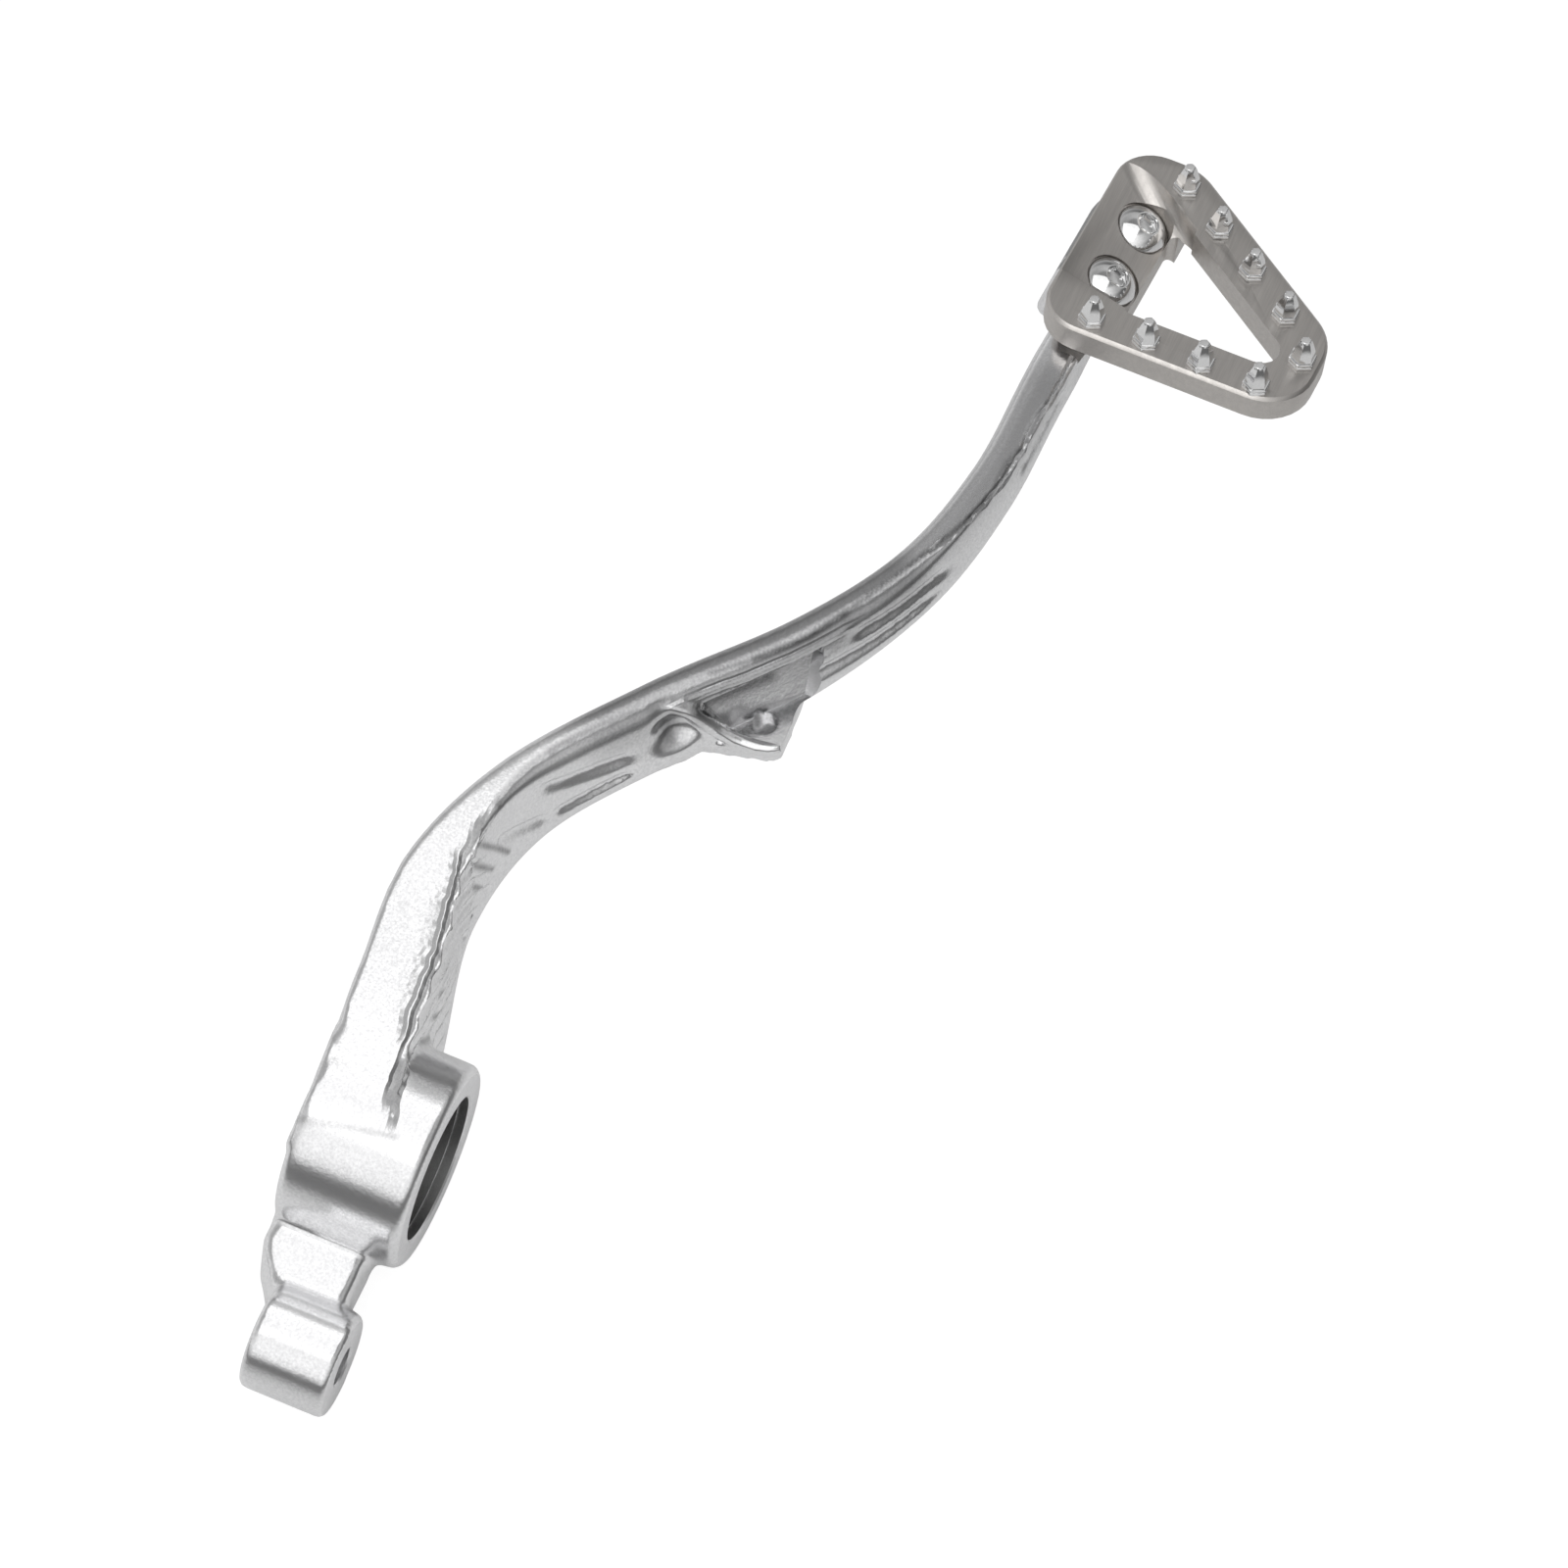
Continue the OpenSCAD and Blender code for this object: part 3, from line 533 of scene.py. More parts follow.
def boreCutters():
    h, r, g = hubShape, rodShape, lugShape
    half, bore, seat = h["width"] / 2, h["bore"] / 2, h["bore"] / 2 + h["seatStep"]
    c, reach = h["mouthChamfer"], cutShape["boreReach"]
    side = [[bore, 0], [bore, half - h["seatDepth"]], [seat, half - h["seatDepth"]], [seat, half - c],
            [seat + c, half], [seat + c, half + reach]]
    profile = [[p, -z] for p, z in side[:0:-1]] + side[1:]
    hole, depth, m = r["holeD"] / 2, r["bossWidth"] / 2, r["mouthChamfer"]
    pin = [[hole + m, -depth - reach], [hole + m, -depth], [hole, -depth + m], [hole, depth - m],
           [hole + m, depth], [hole + m, depth + reach]]
    bottom = [[0.6, -g["holeDepth"]], [g["holeD"] / 2, -g["holeDepth"]], [g["holeD"] / 2, 0.7]]
    lug = lambda rings: lugPlace(rings + np.array([g["holeAlong"], -g["holeOut"], 0]))
    innerFace = lambda rings: rings @ turned("X", -90).T + np.array([0, half, 0])
    return [
        latheSolid(profile, 160, alongBore(0, 0, 0)),
        latheSolid(pin, 96, alongBore(-r["back"], bossY, -r["drop"])),
        latheSolid(bottom, 64, lug),
        latheSolid(faceProfile(h["faceRadius"]), 96, alongBore(0, -half, 0)),
        latheSolid(faceProfile(h["spotRadius"], 1.2), 96, innerFace),
        latheSolid(faceProfile(r["faceRadius"]), 64, alongBore(-r["back"], bossY - depth, -r["drop"]))]


def flangeCutters():
    # the space above the pad's seat, and the two screw holes
    p, cut = plateShape, cutShape
    low, r = -p["flangeThick"], p["holeD"] / 2
    back, front, half = p["rear"] + 0.6, p["rear"] + cut["length"], cut["half"]
    box = prismShell([[back, -half], [front, -half], [front, half], [back, half]],
                     low, low + cut["height"], lambda q: onStep(onFlange(q)))
    under = low - p["pad"]
    profile = [[r + 0.4, under - 9], [r, under - 8.6], [r, low + 0.3], [r + 0.3, low + 0.6], [r + 0.3, 9]]
    return [box] + [
        latheSolid(profile, 48, lambda q, x=x: onStep(onFlange(q + np.array([x, p["screwAcross"], 0]))))
        for x in p["screws"]]


filletShape = {
    # reach round the hub's rim, how far back it goes, and the barrel's own rims that it leaves alone
    "hubReach": 5.0, "hubBack": -26, "rimFrom": 9, "rimRun": 3, "hubRounds": 26,
    "bossReach": 3.0, "bossFront": 3, "bossRounds": 14, "move": 0.7, "mostMove": 0.6,
    # middle and reach round the lug, in the step's frame
    "lugMiddle": [3, -12], "lugReach": [19, 16], "lugMove": 0.5, "skinMove": 0.35, "fewRounds": 2,
}
finerShape = {"middle": [10, -6, 2], "reach": 24, "longest": 1.2}
voxelSize = 0.62
# how much too wide the faces are that are cut flat later
spare = 0.3


def buildArm():
    h, r = hubShape, rodShape
    shells = [
        bladeShell(),
        barrelShell(h["d"], h["width"] + spare, h["round"] + 0.1, [0, -spare / 2, 0]),
        neckShell(),
        barrelShell(r["bossD"], r["bossWidth"] + spare, r["bossRound"] + 0.1,
                    [-r["back"], bossY - spare / 2, -r["drop"]]),
        padShell(),
    ] + lugShells()
    arm = addMesh("arm", *joined(shells))
    step = arm.modifiers.new("remesh", "REMESH")
    step.mode = "VOXEL"
    step.voxel_size = voxelSize * mm
    baked(arm)
    print("stage: arm remeshed,", len(arm.data.vertices), "points")
    mesh = arm.data
    points = meshPoints(mesh)
    edges = np.empty(len(mesh.edges) * 2, np.int32)
    mesh.edges.foreach_get("vertices", edges)
    edges = edges.reshape(-1, 2)
    local = points @ stepTurn
    f = filletShape
    fromPivot = np.hypot(points[:, 0], points[:, 2])
    nearHub = bumpNear(np.abs(fromPivot - h["d"] / 2), f["hubReach"]) * (points[:, 0] > f["hubBack"])
    nearRim = easeStep((np.abs(points[:, 1]) - f["rimFrom"]) / f["rimRun"]) * (fromPivot < h["d"] / 2 + spare)
    hubFillet = nearHub * (1 - nearRim)
    fromBoss = np.hypot(points[:, 0] + r["back"], points[:, 2] + r["drop"])
    bossFillet = bumpNear(np.abs(fromBoss - r["bossD"] / 2), f["bossReach"])
    bossFillet = bossFillet * (points[:, 0] > -r["back"] + f["bossFront"])
    (lugX, lugY), (reachX, reachY) = f["lugMiddle"], f["lugReach"]
    lugFillet = bumpNear(local[:, 0] - lugShape["x"] - lugX, reachX) * bumpNear(local[:, 1] - lugY, reachY)
    points = relaxed(points, edges, np.full(len(points), f["skinMove"]), f["fewRounds"])
    points = relaxed(points, edges, np.clip(hubFillet * f["move"], 0, f["mostMove"]), f["hubRounds"])
    points = relaxed(points, edges, np.clip(bossFillet * f["move"], 0, f["mostMove"]), f["bossRounds"])
    points = relaxed(points, edges, lugFillet * f["lugMove"], f["fewRounds"])
    setPoints(mesh, np.clip(points, np.array(cadLow) / mm, np.array(cadHigh) / mm))
    for shell in boreCutters() + flangeCutters() + [pocketShell()]:
        cutWith(arm, *shell)
    finerNear(arm, lugPlace([finerShape["middle"]])[0], finerShape["reach"], finerShape["longest"])
    points = meshPoints(arm.data)
    along, across = armPlaces(points)
    keptOnMesh(arm, "seamAlong", along)
    keptOnMesh(arm, "seamAcross", across)
    # painted shade and painted-over reflections, kept on the arm's points
    keptOnMesh(arm, "paintedShadeTone", paintedArmShade(points, along, across))
    print("stage: arm cut,", len(arm.data.polygons), "faces")
    return arm


def armPlaces(points):
    # where each point lies: along the blade, and across it from the crease (top side negative)
    local = points @ stepTurn
    t = np.clip(local[:, 0] / armShape["reach"], bladeStart, bladeEnd)
    for _ in range(4):
        ahead = np.sum((local - armPoint(t)) * armAxes(t)[0], 1)
        t = np.clip(t + ahead / armShape["reach"] * 0.85, bladeStart, bladeEnd)
    forward, out, up = armAxes(t)
    away = local - armPoint(t)
    o, u = np.sum(away * out, 1), np.sum(away * up, 1)
    w, h, c, ce, top = armSizes(t)
    return armShape["reach"] * t, np.where(o < c, o - c, np.maximum(o - c, top - u))


def finerNear(piece, middle, reach, longest):
    # splits the long edges that the cuts leave, so that the painted shade follows the places
    work = bmesh.new()
    work.from_mesh(piece.data)
    centre = Vector(middle) * mm
    for _ in range(4):
        edges = [e for e in work.edges
                 if e.calc_length() > longest * mm and (e.verts[0].co - centre).length < reach * mm]
        if edges:
            bmesh.ops.subdivide_edges(work, edges=edges, cuts=1, use_grid_fill=False)
            bmesh.ops.triangulate(work, faces=[f for f in work.faces if len(f.verts) > 4])
    work.to_mesh(piece.data)
    work.free()


paintedShadeShape = {
    # painted shade and painted-over reflections in strokes on the skin: along and across of the start and of the end,
    # half width, and the share of the light taken away
    "strokes": [
        [96, -1.8, 150, -1.8, 13, 0.55], [150, -1.5, 205, -2, 9, 0.25], [-6.5, -17, -5.5, 2, 1.4, 0.3],
        [70, 0.6, 84, 1.5, 1.6, 0.45], [84, 1.5, 93.4, 1.8, 1.8, 0.6], [93.4, 1.8, 100, 2.2, 1.8, 0.6],
        [113, 1.4, 120.3, 2.0, 1.5, 0.7], [120.3, 2.0, 130.5, 2.3, 1.8, 0.86],
        [130.5, 2.3, 138.3, 1.6, 1.8, 0.86], [138.3, 1.6, 146.4, 0.7, 1.6, 0.78],
        [146.4, 0.7, 157.4, 0.0, 1.6, 0.75], [157.4, 0.0, 175.4, 0.4, 1.6, 0.7],
        [175.4, 0.4, 184.6, -0.9, 1.3, 0.55], [184.6, -0.9, 190.3, 0.2, 1.3, 0.5],
        [190.3, 0.2, 199, 0.1, 1.1, 0.4], [109.5, 6.3, 122, 6.3, 3.0, 0.7],
        [104.4, 6.2, 104.2, 9.4, 3.8, 0.62],
    ],
    # painted shade inside the lug's hole, and painted dark streaks along the root's flutes
    "hole": 0.75,
    "flutes": {"first": 14.0, "pitch": 5.2, "count": 10, "run": 7.0, "high": 0.8, "low": 14.0, "half": 1.2,
               "change": 0.65},
}


def paintedHoleShade(points):
    # painted shade inside the lug's hole
    g = lugShape
    mouth, above = lugPlace([[g["holeAlong"], -g["holeOut"], z] for z in (0, 1)])
    depth = (points - mouth) @ (above - mouth)
    away = np.linalg.norm(points - mouth - depth[:, None] * (above - mouth), axis=1)
    nearWall, belowRim = 0.1, -0.25
    return np.where((away < g["holeD"] / 2 + nearWall) & (depth < belowRim), paintedShadeShape["hole"], 1.0)


def paintedArmShade(points, along, across):
    # painted shade: share of the light that the skin gives back, by place
    f = paintedShadeShape["flutes"]
    starts = [f["first"] + i * f["pitch"] for i in range(f["count"])]
    flutes = [[x, f["high"], x + f["run"], f["low"], f["half"], f["change"]] for x in starts]
    paintedShadeTone = paintedHoleShade(points)
    for x0, y0, x1, y1, half, change in paintedShadeShape["strokes"] + flutes:
        bx, by = x1 - x0, y1 - y0
        k = np.clip(((along - x0) * bx + (across - y0) * by) / (bx * bx + by * by), 0, 1)
        away = np.hypot(along - x0 - k * bx, across - y0 - k * by)
        paintedShadeTone = np.minimum(paintedShadeTone, 1 - change * (1 - easeStep(away / half)))
    return paintedShadeTone


def keptOnMesh(piece, name, values):
    layer = piece.data.attributes.new(name, "FLOAT", "POINT")
    layer.data.foreach_set("value", values.astype(np.float32))


def machinedFaces(piece):
    # second finish on the faces that a tool has cut: bores, end faces and seats
    mesh = piece.data
    n = len(mesh.polygons)
    centre = np.empty(n * 3, np.float32)
    normal = np.empty(n * 3, np.float32)
    mesh.polygons.foreach_get("center", centre)
    mesh.polygons.foreach_get("normal", normal)
    c = centre.reshape(-1, 3).astype(float) / mm
    d = normal.reshape(-1, 3).astype(float)
    h, r = hubShape, rodShape
    fromPivot = np.hypot(c[:, 0], c[:, 2])
    fromBoss = np.hypot(c[:, 0] + r["back"], c[:, 2] + r["drop"])
    near, facing = 0.02, 0.99
    cut = fromPivot < h["bore"] / 2 + h["seatStep"] + h["mouthChamfer"] + near
    cut |= ((np.abs(np.abs(c[:, 1]) - h["width"] / 2) < near) & (np.abs(d[:, 1]) > facing)
            & (fromPivot < h["faceRadius"] + 1))
    cut |= fromBoss < r["holeD"] / 2 + r["mouthChamfer"] + near
    cut |= ((np.abs(c[:, 1] - bossY + r["bossWidth"] / 2) < near) & (d[:, 1] < -facing)
            & (fromBoss < r["faceRadius"]))
    p = plateShape
    local = (c @ stepTurn - [0, p["inner"], p["z"]]) @ turned("X", p["tilt"])
    cut |= (np.abs(local[:, 2] + p["flangeThick"]) < near) & (local[:, 0] > p["rear"])
    # the bore's inside wall takes the third finish, the machined one at half its colour: painted shade
    shadedBore = (fromPivot < h["bore"] / 2 + h["seatStep"] + near) & (np.abs(d[:, 1]) < 0.5)
    mesh.polygons.foreach_set("material_index", cut.astype(np.int32) + (cut & shadedBore))


# Screws and spikes

screwShape = {
    "d": 6.0, "length": 10.0, "headD": 11.6, "headHeight": 3.6, "rim": 0.5, "flats": 4.0, "mouth": 2.75,
    "spot": 0.8, "segments": 96,
}
spikeShape = {
    "height": 6.8, "flats": 5.2, "collar": 1.7, "tip": 2.0, "d": 4.0, "length": 5.0, "segments": 72,
    "turn": 30.0,
    # the front row's first place, the pitches, the outer corner's and the rear row's first place
    "first": [3.6, 5.936], "pitch": 13.2, "cornerIn": 4.0, "rearPlace": [3.9, 11.5], "rearPitch": [0.26, 12.4],
    "apexAhead": 10.2,
}


def screwShell(x):
    s = screwShape
    r, top, thread, end = s["headD"] / 2, s["headHeight"], s["d"] / 2, -s["length"]
    dome = top - s["rim"]
    crown = (r * r + dome * dome) / (2 * dome)
    a = np.linspace(0.3, r - 0.12, 40)[::-1]
    domeRun = [[q, top - crown + np.sqrt(crown ** 2 - q ** 2)] for q in a[a > s["mouth"]]]
    flat = s["flats"] / 2
    lip = domeRun[-1][1]
    outer = [[0.4, end], [thread - 0.7, end], [thread, end + 0.7], [thread, -0.05], [thread + 0.1, 0.02],
             [r - 0.35, 0.02], [r - 0.1, 0.1], [r, 0.28], [r, 0.42]] + domeRun
    # the socket: radius, height and share of the hexagon
    inner = [[2.62, lip, 0], [2.5, lip - 0.04, 0.1], [flat + 0.2, lip - 0.16, 0.7],
             [flat + 0.06, lip - 0.36, 0.95], [flat, lip - 0.6, 1], [flat, lip - 1.9, 1],
             [flat * 0.6, lip - 2.15, 0.6], [0.4, lip - 2.3, 0]]
    share = [0] * len(outer) + [q[2] for q in inner]
    rings = latheRings(outer + [q[:2] for q in inner], s["segments"], share)
    place = np.array([x, plateShape["screwAcross"], -s["spot"]])
    return tubeSolid(onStep(onFlange(rings + place)))


def spikePlaces():
    # four along the front bar, one at the outer corner, four along the rear bar
    p, s = plateShape, spikeShape
    tilt = np.radians(p["angle"])
    along = np.array([-np.sin(tilt), -np.cos(tilt)])
    out = np.array([np.cos(tilt), -np.sin(tilt)])
    corner = np.array([p["rear"] + p["length"], p["inner"] - p["flat"]])
    first = corner + s["first"][0] * along - out * s["first"][1]
    rearX, rearY = p["rear"] + s["rearPlace"][0], p["inner"] - s["rearPlace"][1]
    front = [first + i * s["pitch"] * along for i in range(4)]
    apex = [np.array([rearX + s["apexAhead"], p["inner"] - p["width"] + s["cornerIn"]])]
    rear = [np.array([rearX - i * s["rearPitch"][0], rearY - i * s["rearPitch"][1]]) for i in (3, 2, 1, 0)]
    return front + apex + rear


def spikeShell(place):
    s = spikeShape
    f, c, h, thread, end, tip = s["flats"] / 2, s["collar"], s["height"], s["d"] / 2, -s["length"], s["tip"] / 2
    body = h - c
    # radius, height and share of the hexagon
    rows = [
        [0.3, end, 0], [thread - 0.5, end, 0], [thread, end + 0.5, 0], [thread, 0.01, 0],
        [f - 0.12, 0.01, 0.9], [f, 0.1, 1], [f, c * 0.4, 1], [f - 0.08, c * 0.45, 0.9],
        [f - 0.32, c * 0.5, 0.5], [f - 0.32, c * 0.58, 0.5], [f - 0.08, c * 0.62, 0.9], [f, c * 0.68, 1],
        [f, c * 0.93, 1], [f - 0.14, c, 0.9], [f * 0.86, c + 0.04, 0.9], [f * 0.83, c + body * 0.12, 1],
        [f * 0.8, c + body * 0.3, 1], [f * 0.72, c + body * 0.48, 1], [f * 0.6, c + body * 0.66, 1],
        [f * 0.5, c + body * 0.84, 0.9], [tip + 0.02, h - 0.18, 0.7], [tip - 0.14, h - 0.03, 0.3],
        [tip - 0.35, h, 0.1], [0.3, h, 0],
    ]
    rings = latheRings([q[:2] for q in rows], s["segments"], [q[2] for q in rows])
    rings = rings @ turned("Z", s["turn"]).T
    return tubeSolid(onStep(rings + np.array([*place, plateShape["z"]])))


# Shader node groups, one for each effect that several finishes share

def newGroup(name, inputs, outputs):
    # inputs by name with their usual value, None for a vector; outputs are numbers
    group = bpy.data.node_groups.new(name, "ShaderNodeTree")
    for label, value in inputs.items():
        kind = "NodeSocketVector" if value is None else "NodeSocketFloat"
        socket = group.interface.new_socket(label, in_out="INPUT", socket_type=kind)
        if value is not None:
            socket.default_value = value
    for label in outputs:
        group.interface.new_socket(label, in_out="OUTPUT", socket_type="NodeSocketFloat")
    return group, group.nodes.new("NodeGroupInput"), group.nodes.new("NodeGroupOutput")


def node(tree, kind, settings=None, **inputs):
    made = tree.nodes.new("ShaderNode" + kind)
    for key, value in (settings or {}).items():
        setattr(made, key, value)
    # an input is given by its name, or by i and its number
    for key, value in inputs.items():
        numbered = key[0] == "i" and key[1:].isdigit()
        socket = made.inputs[int(key[1:])] if numbered else made.inputs[key]
        if isinstance(value, bpy.types.NodeSocket):
            tree.links.new(value, socket)
        else:
            socket.default_value = value
    return made


def math(tree, operation, a, b=0.0):
    return node(tree, "Math", {"operation": operation}, i0=a, i1=b).outputs[0]


def times(tree, a, b):
    return math(tree, "MULTIPLY", a, b)


def plus(tree, a, b):
    return math(tree, "ADD", a, b)


def ramp(tree, value, low, high, toLow=0.0, toHigh=1.0):
    made = node(tree, "MapRange", {"clamp": True}, Value=value)
    for i, v in enumerate((low, high, toLow, toHigh)):
        made.inputs[i + 1].default_value = v
    return made.outputs[0]


def makePitGroup():
    # fine pits and orange peel of a shot and polished forging
    group, given, out = newGroup(
        "forgedPits", {"Vector": None, "Grain": 1500.0, "Swell": 260.0}, ["Height", "Mask"])
    v, grain = given.outputs["Vector"], given.outputs["Grain"]
    fine = node(group, "TexNoise", Vector=v, Scale=grain, Detail=3.0, Roughness=0.6)
    cells = node(group, "TexVoronoi", {"feature": "SMOOTH_F1"}, Vector=v, Scale=times(group, grain, 0.55))
    swell = node(group, "TexNoise", Vector=v, Scale=given.outputs["Swell"], Detail=2.0, Roughness=0.5)
    height = plus(group, times(group, fine.outputs[0], 0.55), times(group, cells.outputs[0], 0.35))
    height = plus(group, height, times(group, swell.outputs[0], 0.7))
    group.links.new(height, out.inputs["Height"])
    group.links.new(ramp(group, fine.outputs[0], 0.3, 0.7), out.inputs["Mask"])
    return group


def makeToolGroup():
    # lines left by a cutter or a brush, along the vector's x
    group, given, out = newGroup(
        "toolLines", {"Vector": None, "Lines": 5000.0, "Stretch": 0.03}, ["Height", "Mask"])
    scale = given.outputs["Lines"]
    parts = node(group, "SeparateXYZ", Vector=given.outputs["Vector"]).outputs
    x = times(group, parts[0], given.outputs["Stretch"])
    v = node(group, "CombineXYZ", X=x, Y=parts[1], Z=parts[2]).outputs[0]
    lines = node(group, "TexNoise", Vector=v, Scale=scale, Detail=2.0, Roughness=0.6)
    broad = node(group, "TexNoise", Vector=v, Scale=times(group, scale, 0.2), Detail=1.0)
    height = plus(group, times(group, lines.outputs[0], 0.6), times(group, broad.outputs[0], 0.4))
    group.links.new(height, out.inputs["Height"])
    group.links.new(ramp(group, height, 0.35, 0.65), out.inputs["Mask"])
    return group


def band(tree, value, middle, half):
    # 1 on the middle line, 0 beyond half
    away = math(tree, "ABSOLUTE", math(tree, "SUBTRACT", value, middle))
    return ramp(tree, away, 0.0, half, 1.0, 0.0)


seamShape = {
    "waves": [0.07, 0.24],
    # start and end along the blade, middle and half width across it, height, how far it wanders
    "lines": [
        [-8, 72, 0.3, 1.0, 0.5, 0.9], [-4, 68, -1.5, 0.8, -0.55, 0.9], [8, 62, -3.4, 0.9, -0.26, 1.3],
        [16, 56, -5.0, 0.8, -0.12, 1.3], [158, 224, 0.2, 0.9, -0.6, 0.9], [104, 142, 3.6, 0.35, -0.16, 0.2],
        [104, 142, 4.3, 0.35, 0.14, 0.2],
    ],
    "startRun": 8, "endRun": 10,
}


def makeSeamGroup():
    # height in millimetres of the bead, lines and wrinkles along the forging's crease
    group, given, out = newGroup("forgedSeam", {"Along": 0.0, "Across": 0.0}, ["Height"])
    along, across = given.outputs["Along"], given.outputs["Across"]
    waves = []
    for scale in seamShape["waves"]:
        noise = node(group, "TexNoise", {"noise_dimensions": "1D"}, W=along, Scale=scale, Detail=1.0)
        waves.append(math(group, "SUBTRACT", noise.outputs[0], 0.5))
    total = 0.0
    for start, end, middle, half, height, wander in seamShape["lines"]:
        drift = plus(group, times(group, waves[0], wander * 2.0), times(group, waves[1], wander))
        share = times(group, ramp(group, along, start, start + seamShape["startRun"]),
                      ramp(group, along, end - seamShape["endRun"], end, 1.0, 0.0))
        line = band(group, plus(group, across, drift), middle, half)
        total = plus(group, total, times(group, times(group, line, share), height))
    group.links.new(total, out.inputs["Height"])
    return group


seamGroup = makeSeamGroup()
pitGroup = makePitGroup()
toolGroup = makeToolGroup()

cutAlloy = {"rough": (0.28, 0.38), "lines": 4200.0, "stretch": 1.0, "bump": 0.14, "depth": 0.00004}
finishes = {
    # the forged skin's last colour is the colour that its painted shade darkens towards
    "forgedSkin": {"color": (0.90, 0.90, 0.905), "dark": (0.74, 0.74, 0.75), "rough": (0.16, 0.27), "grain": 1700.0,
                   "swell": 300.0, "bump": 0.34, "depth": 0.00010, "paintedShadeColor": (0.02, 0.02, 0.021)},
    "machinedAlloy": {**cutAlloy, "color": (0.80, 0.80, 0.805), "dark": (0.70, 0.70, 0.71)},
    # painted shade on the bore's inside wall: the machined finish at half its colour
    "shadedBoreAlloy": {**cutAlloy, "color": (0.40, 0.40, 0.40), "dark": (0.30, 0.30, 0.30)},
    "milledSteel": {"color": (0.575, 0.55, 0.525), "dark": (0.50, 0.48, 0.46), "rough": (0.30, 0.38), "lines": 5200.0,
                    "stretch": 0.03, "bump": 0.12, "depth": 0.00004},
    "polishedSteel": {"color": (0.84, 0.84, 0.84), "dark": (0.76, 0.76, 0.76), "rough": (0.05, 0.11),
                      "grain": 2200.0, "swell": 420.0, "bump": 0.06, "depth": 0.00004},
}


def metalMaterial(name):
    # metal whose colour and roughness follow its own grain; the forged skin also has painted shade and a seam
    f = finishes[name]
    material = bpy.data.materials.new(name)
    material.use_nodes = True
    tree = material.node_tree
    shader = tree.nodes["Principled BSDF"]
    shader.inputs["Metallic"].default_value = 1.0
    place = node(tree, "TexCoord").outputs["Object"]
    if "grain" in f:
        grain = node(tree, "Group", {"node_tree": pitGroup}, Vector=place, Grain=f["grain"], Swell=f["swell"])
    else:
        grain = node(tree, "Group", {"node_tree": toolGroup}, Vector=place, Lines=f["lines"],
                     Stretch=f["stretch"])
    mask = grain.outputs["Mask"]
    colours = {"data_type": "RGBA"}
    skin = node(tree, "Mix", colours, Factor=mask, i6=(*f["dark"], 1), i7=(*f["color"], 1)).outputs[2]
    if "paintedShadeColor" in f:
        # painted shade: the skin darkens towards its shade colour where the arm's points are shaded
        paintedShadeTone = node(tree, "Attribute", {"attribute_name": "paintedShadeTone"}).outputs["Fac"]
        skin = node(tree, "Mix", colours, Factor=paintedShadeTone, i6=(*f["paintedShadeColor"], 1), i7=skin).outputs[2]
    tree.links.new(skin, shader.inputs["Base Color"])
    tree.links.new(ramp(tree, mask, 0, 1, f["rough"][1], f["rough"][0]), shader.inputs["Roughness"])
    bump = node(tree, "Bump", Height=grain.outputs["Height"], Strength=f["bump"], Distance=f["depth"])
    if "paintedShadeColor" in f:
        seam = node(tree, "Group", {"node_tree": seamGroup})
        for key in ("Along", "Across"):
            place = node(tree, "Attribute", {"attribute_name": "seam" + key})
            tree.links.new(place.outputs["Fac"], seam.inputs[key])
        relief = node(tree, "Bump", Height=seam.outputs[0], Strength=1.0, Distance=mm)
        tree.links.new(relief.outputs[0], bump.inputs["Normal"])
    tree.links.new(bump.outputs[0], shader.inputs["Normal"])
    return material


materials = {name: metalMaterial(name) for name in finishes}
print("stage: finishes ready")


# Pieces

def finished(piece, slotName, nodes, angle, *names):
    # gives a piece its finishes, its smooth shading and its place in the part
    for name in names:
        piece.data.materials.append(materials[name])
    smoothShaded(piece, angle)
    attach(piece, "root")
    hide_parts(*nodes)


arm = buildArm()
arm.name = "lever"
arm.data.materials.clear()
finished(arm, "forged_alloy", ["brake_arm"], 38, "forgedSkin", "machinedAlloy", "shadedBoreAlloy")
machinedFaces(arm)
print("stage: lever done")

# distance in metres at which points are one, angles in degrees, width of the broken edges in millimetres
edgeShape = {"merge": 2e-6, "flatAngle": 0.6, "sharpAngle": 28, "width": 0.25, "segments": 2}


def makePlate():
    # the solid's own plate with its flat faces joined and its edges broken
    e = edgeShape
    plate = bpy.data.objects.new("stepPlate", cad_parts["step_plate"].data.copy())
    bpy.context.scene.collection.objects.link(plate)
    plate.data.materials.clear()
    work = bmesh.new()
    work.from_mesh(plate.data)
    bmesh.ops.remove_doubles(work, verts=work.verts, dist=e["merge"])
    bmesh.ops.dissolve_limit(work, angle_limit=np.radians(e["flatAngle"]), verts=work.verts, edges=work.edges)
    work.to_mesh(plate.data)
    work.free()
    edge = plate.modifiers.new("edges", "BEVEL")
    edge.width = e["width"] * mm
    edge.segments = e["segments"]
    edge.limit_method = "ANGLE"
    edge.angle_limit = np.radians(e["sharpAngle"])
    baked(plate)
    return plate


finished(makePlate(), "milled_steel", ["step_plate"], 25, "milledSteel")
print("stage: plate done")

for name, x in zip(("flange_screw_rear", "flange_screw_front"), plateShape["screws"]):
    screw = addMesh(name + "_shown", *screwShell(x))
    finished(screw, "polished_steel", [name], 30, "polishedSteel")
for i, place in enumerate(spikePlaces()):
    spike = addMesh(f"grip_spike_{i + 1}_shown", *spikeShell(place))
    finished(spike, "polished_steel", [f"grip_spike_{i + 1}"], 24, "polishedSteel")
print("stage: screws and spikes done")


# Floor, light and camera

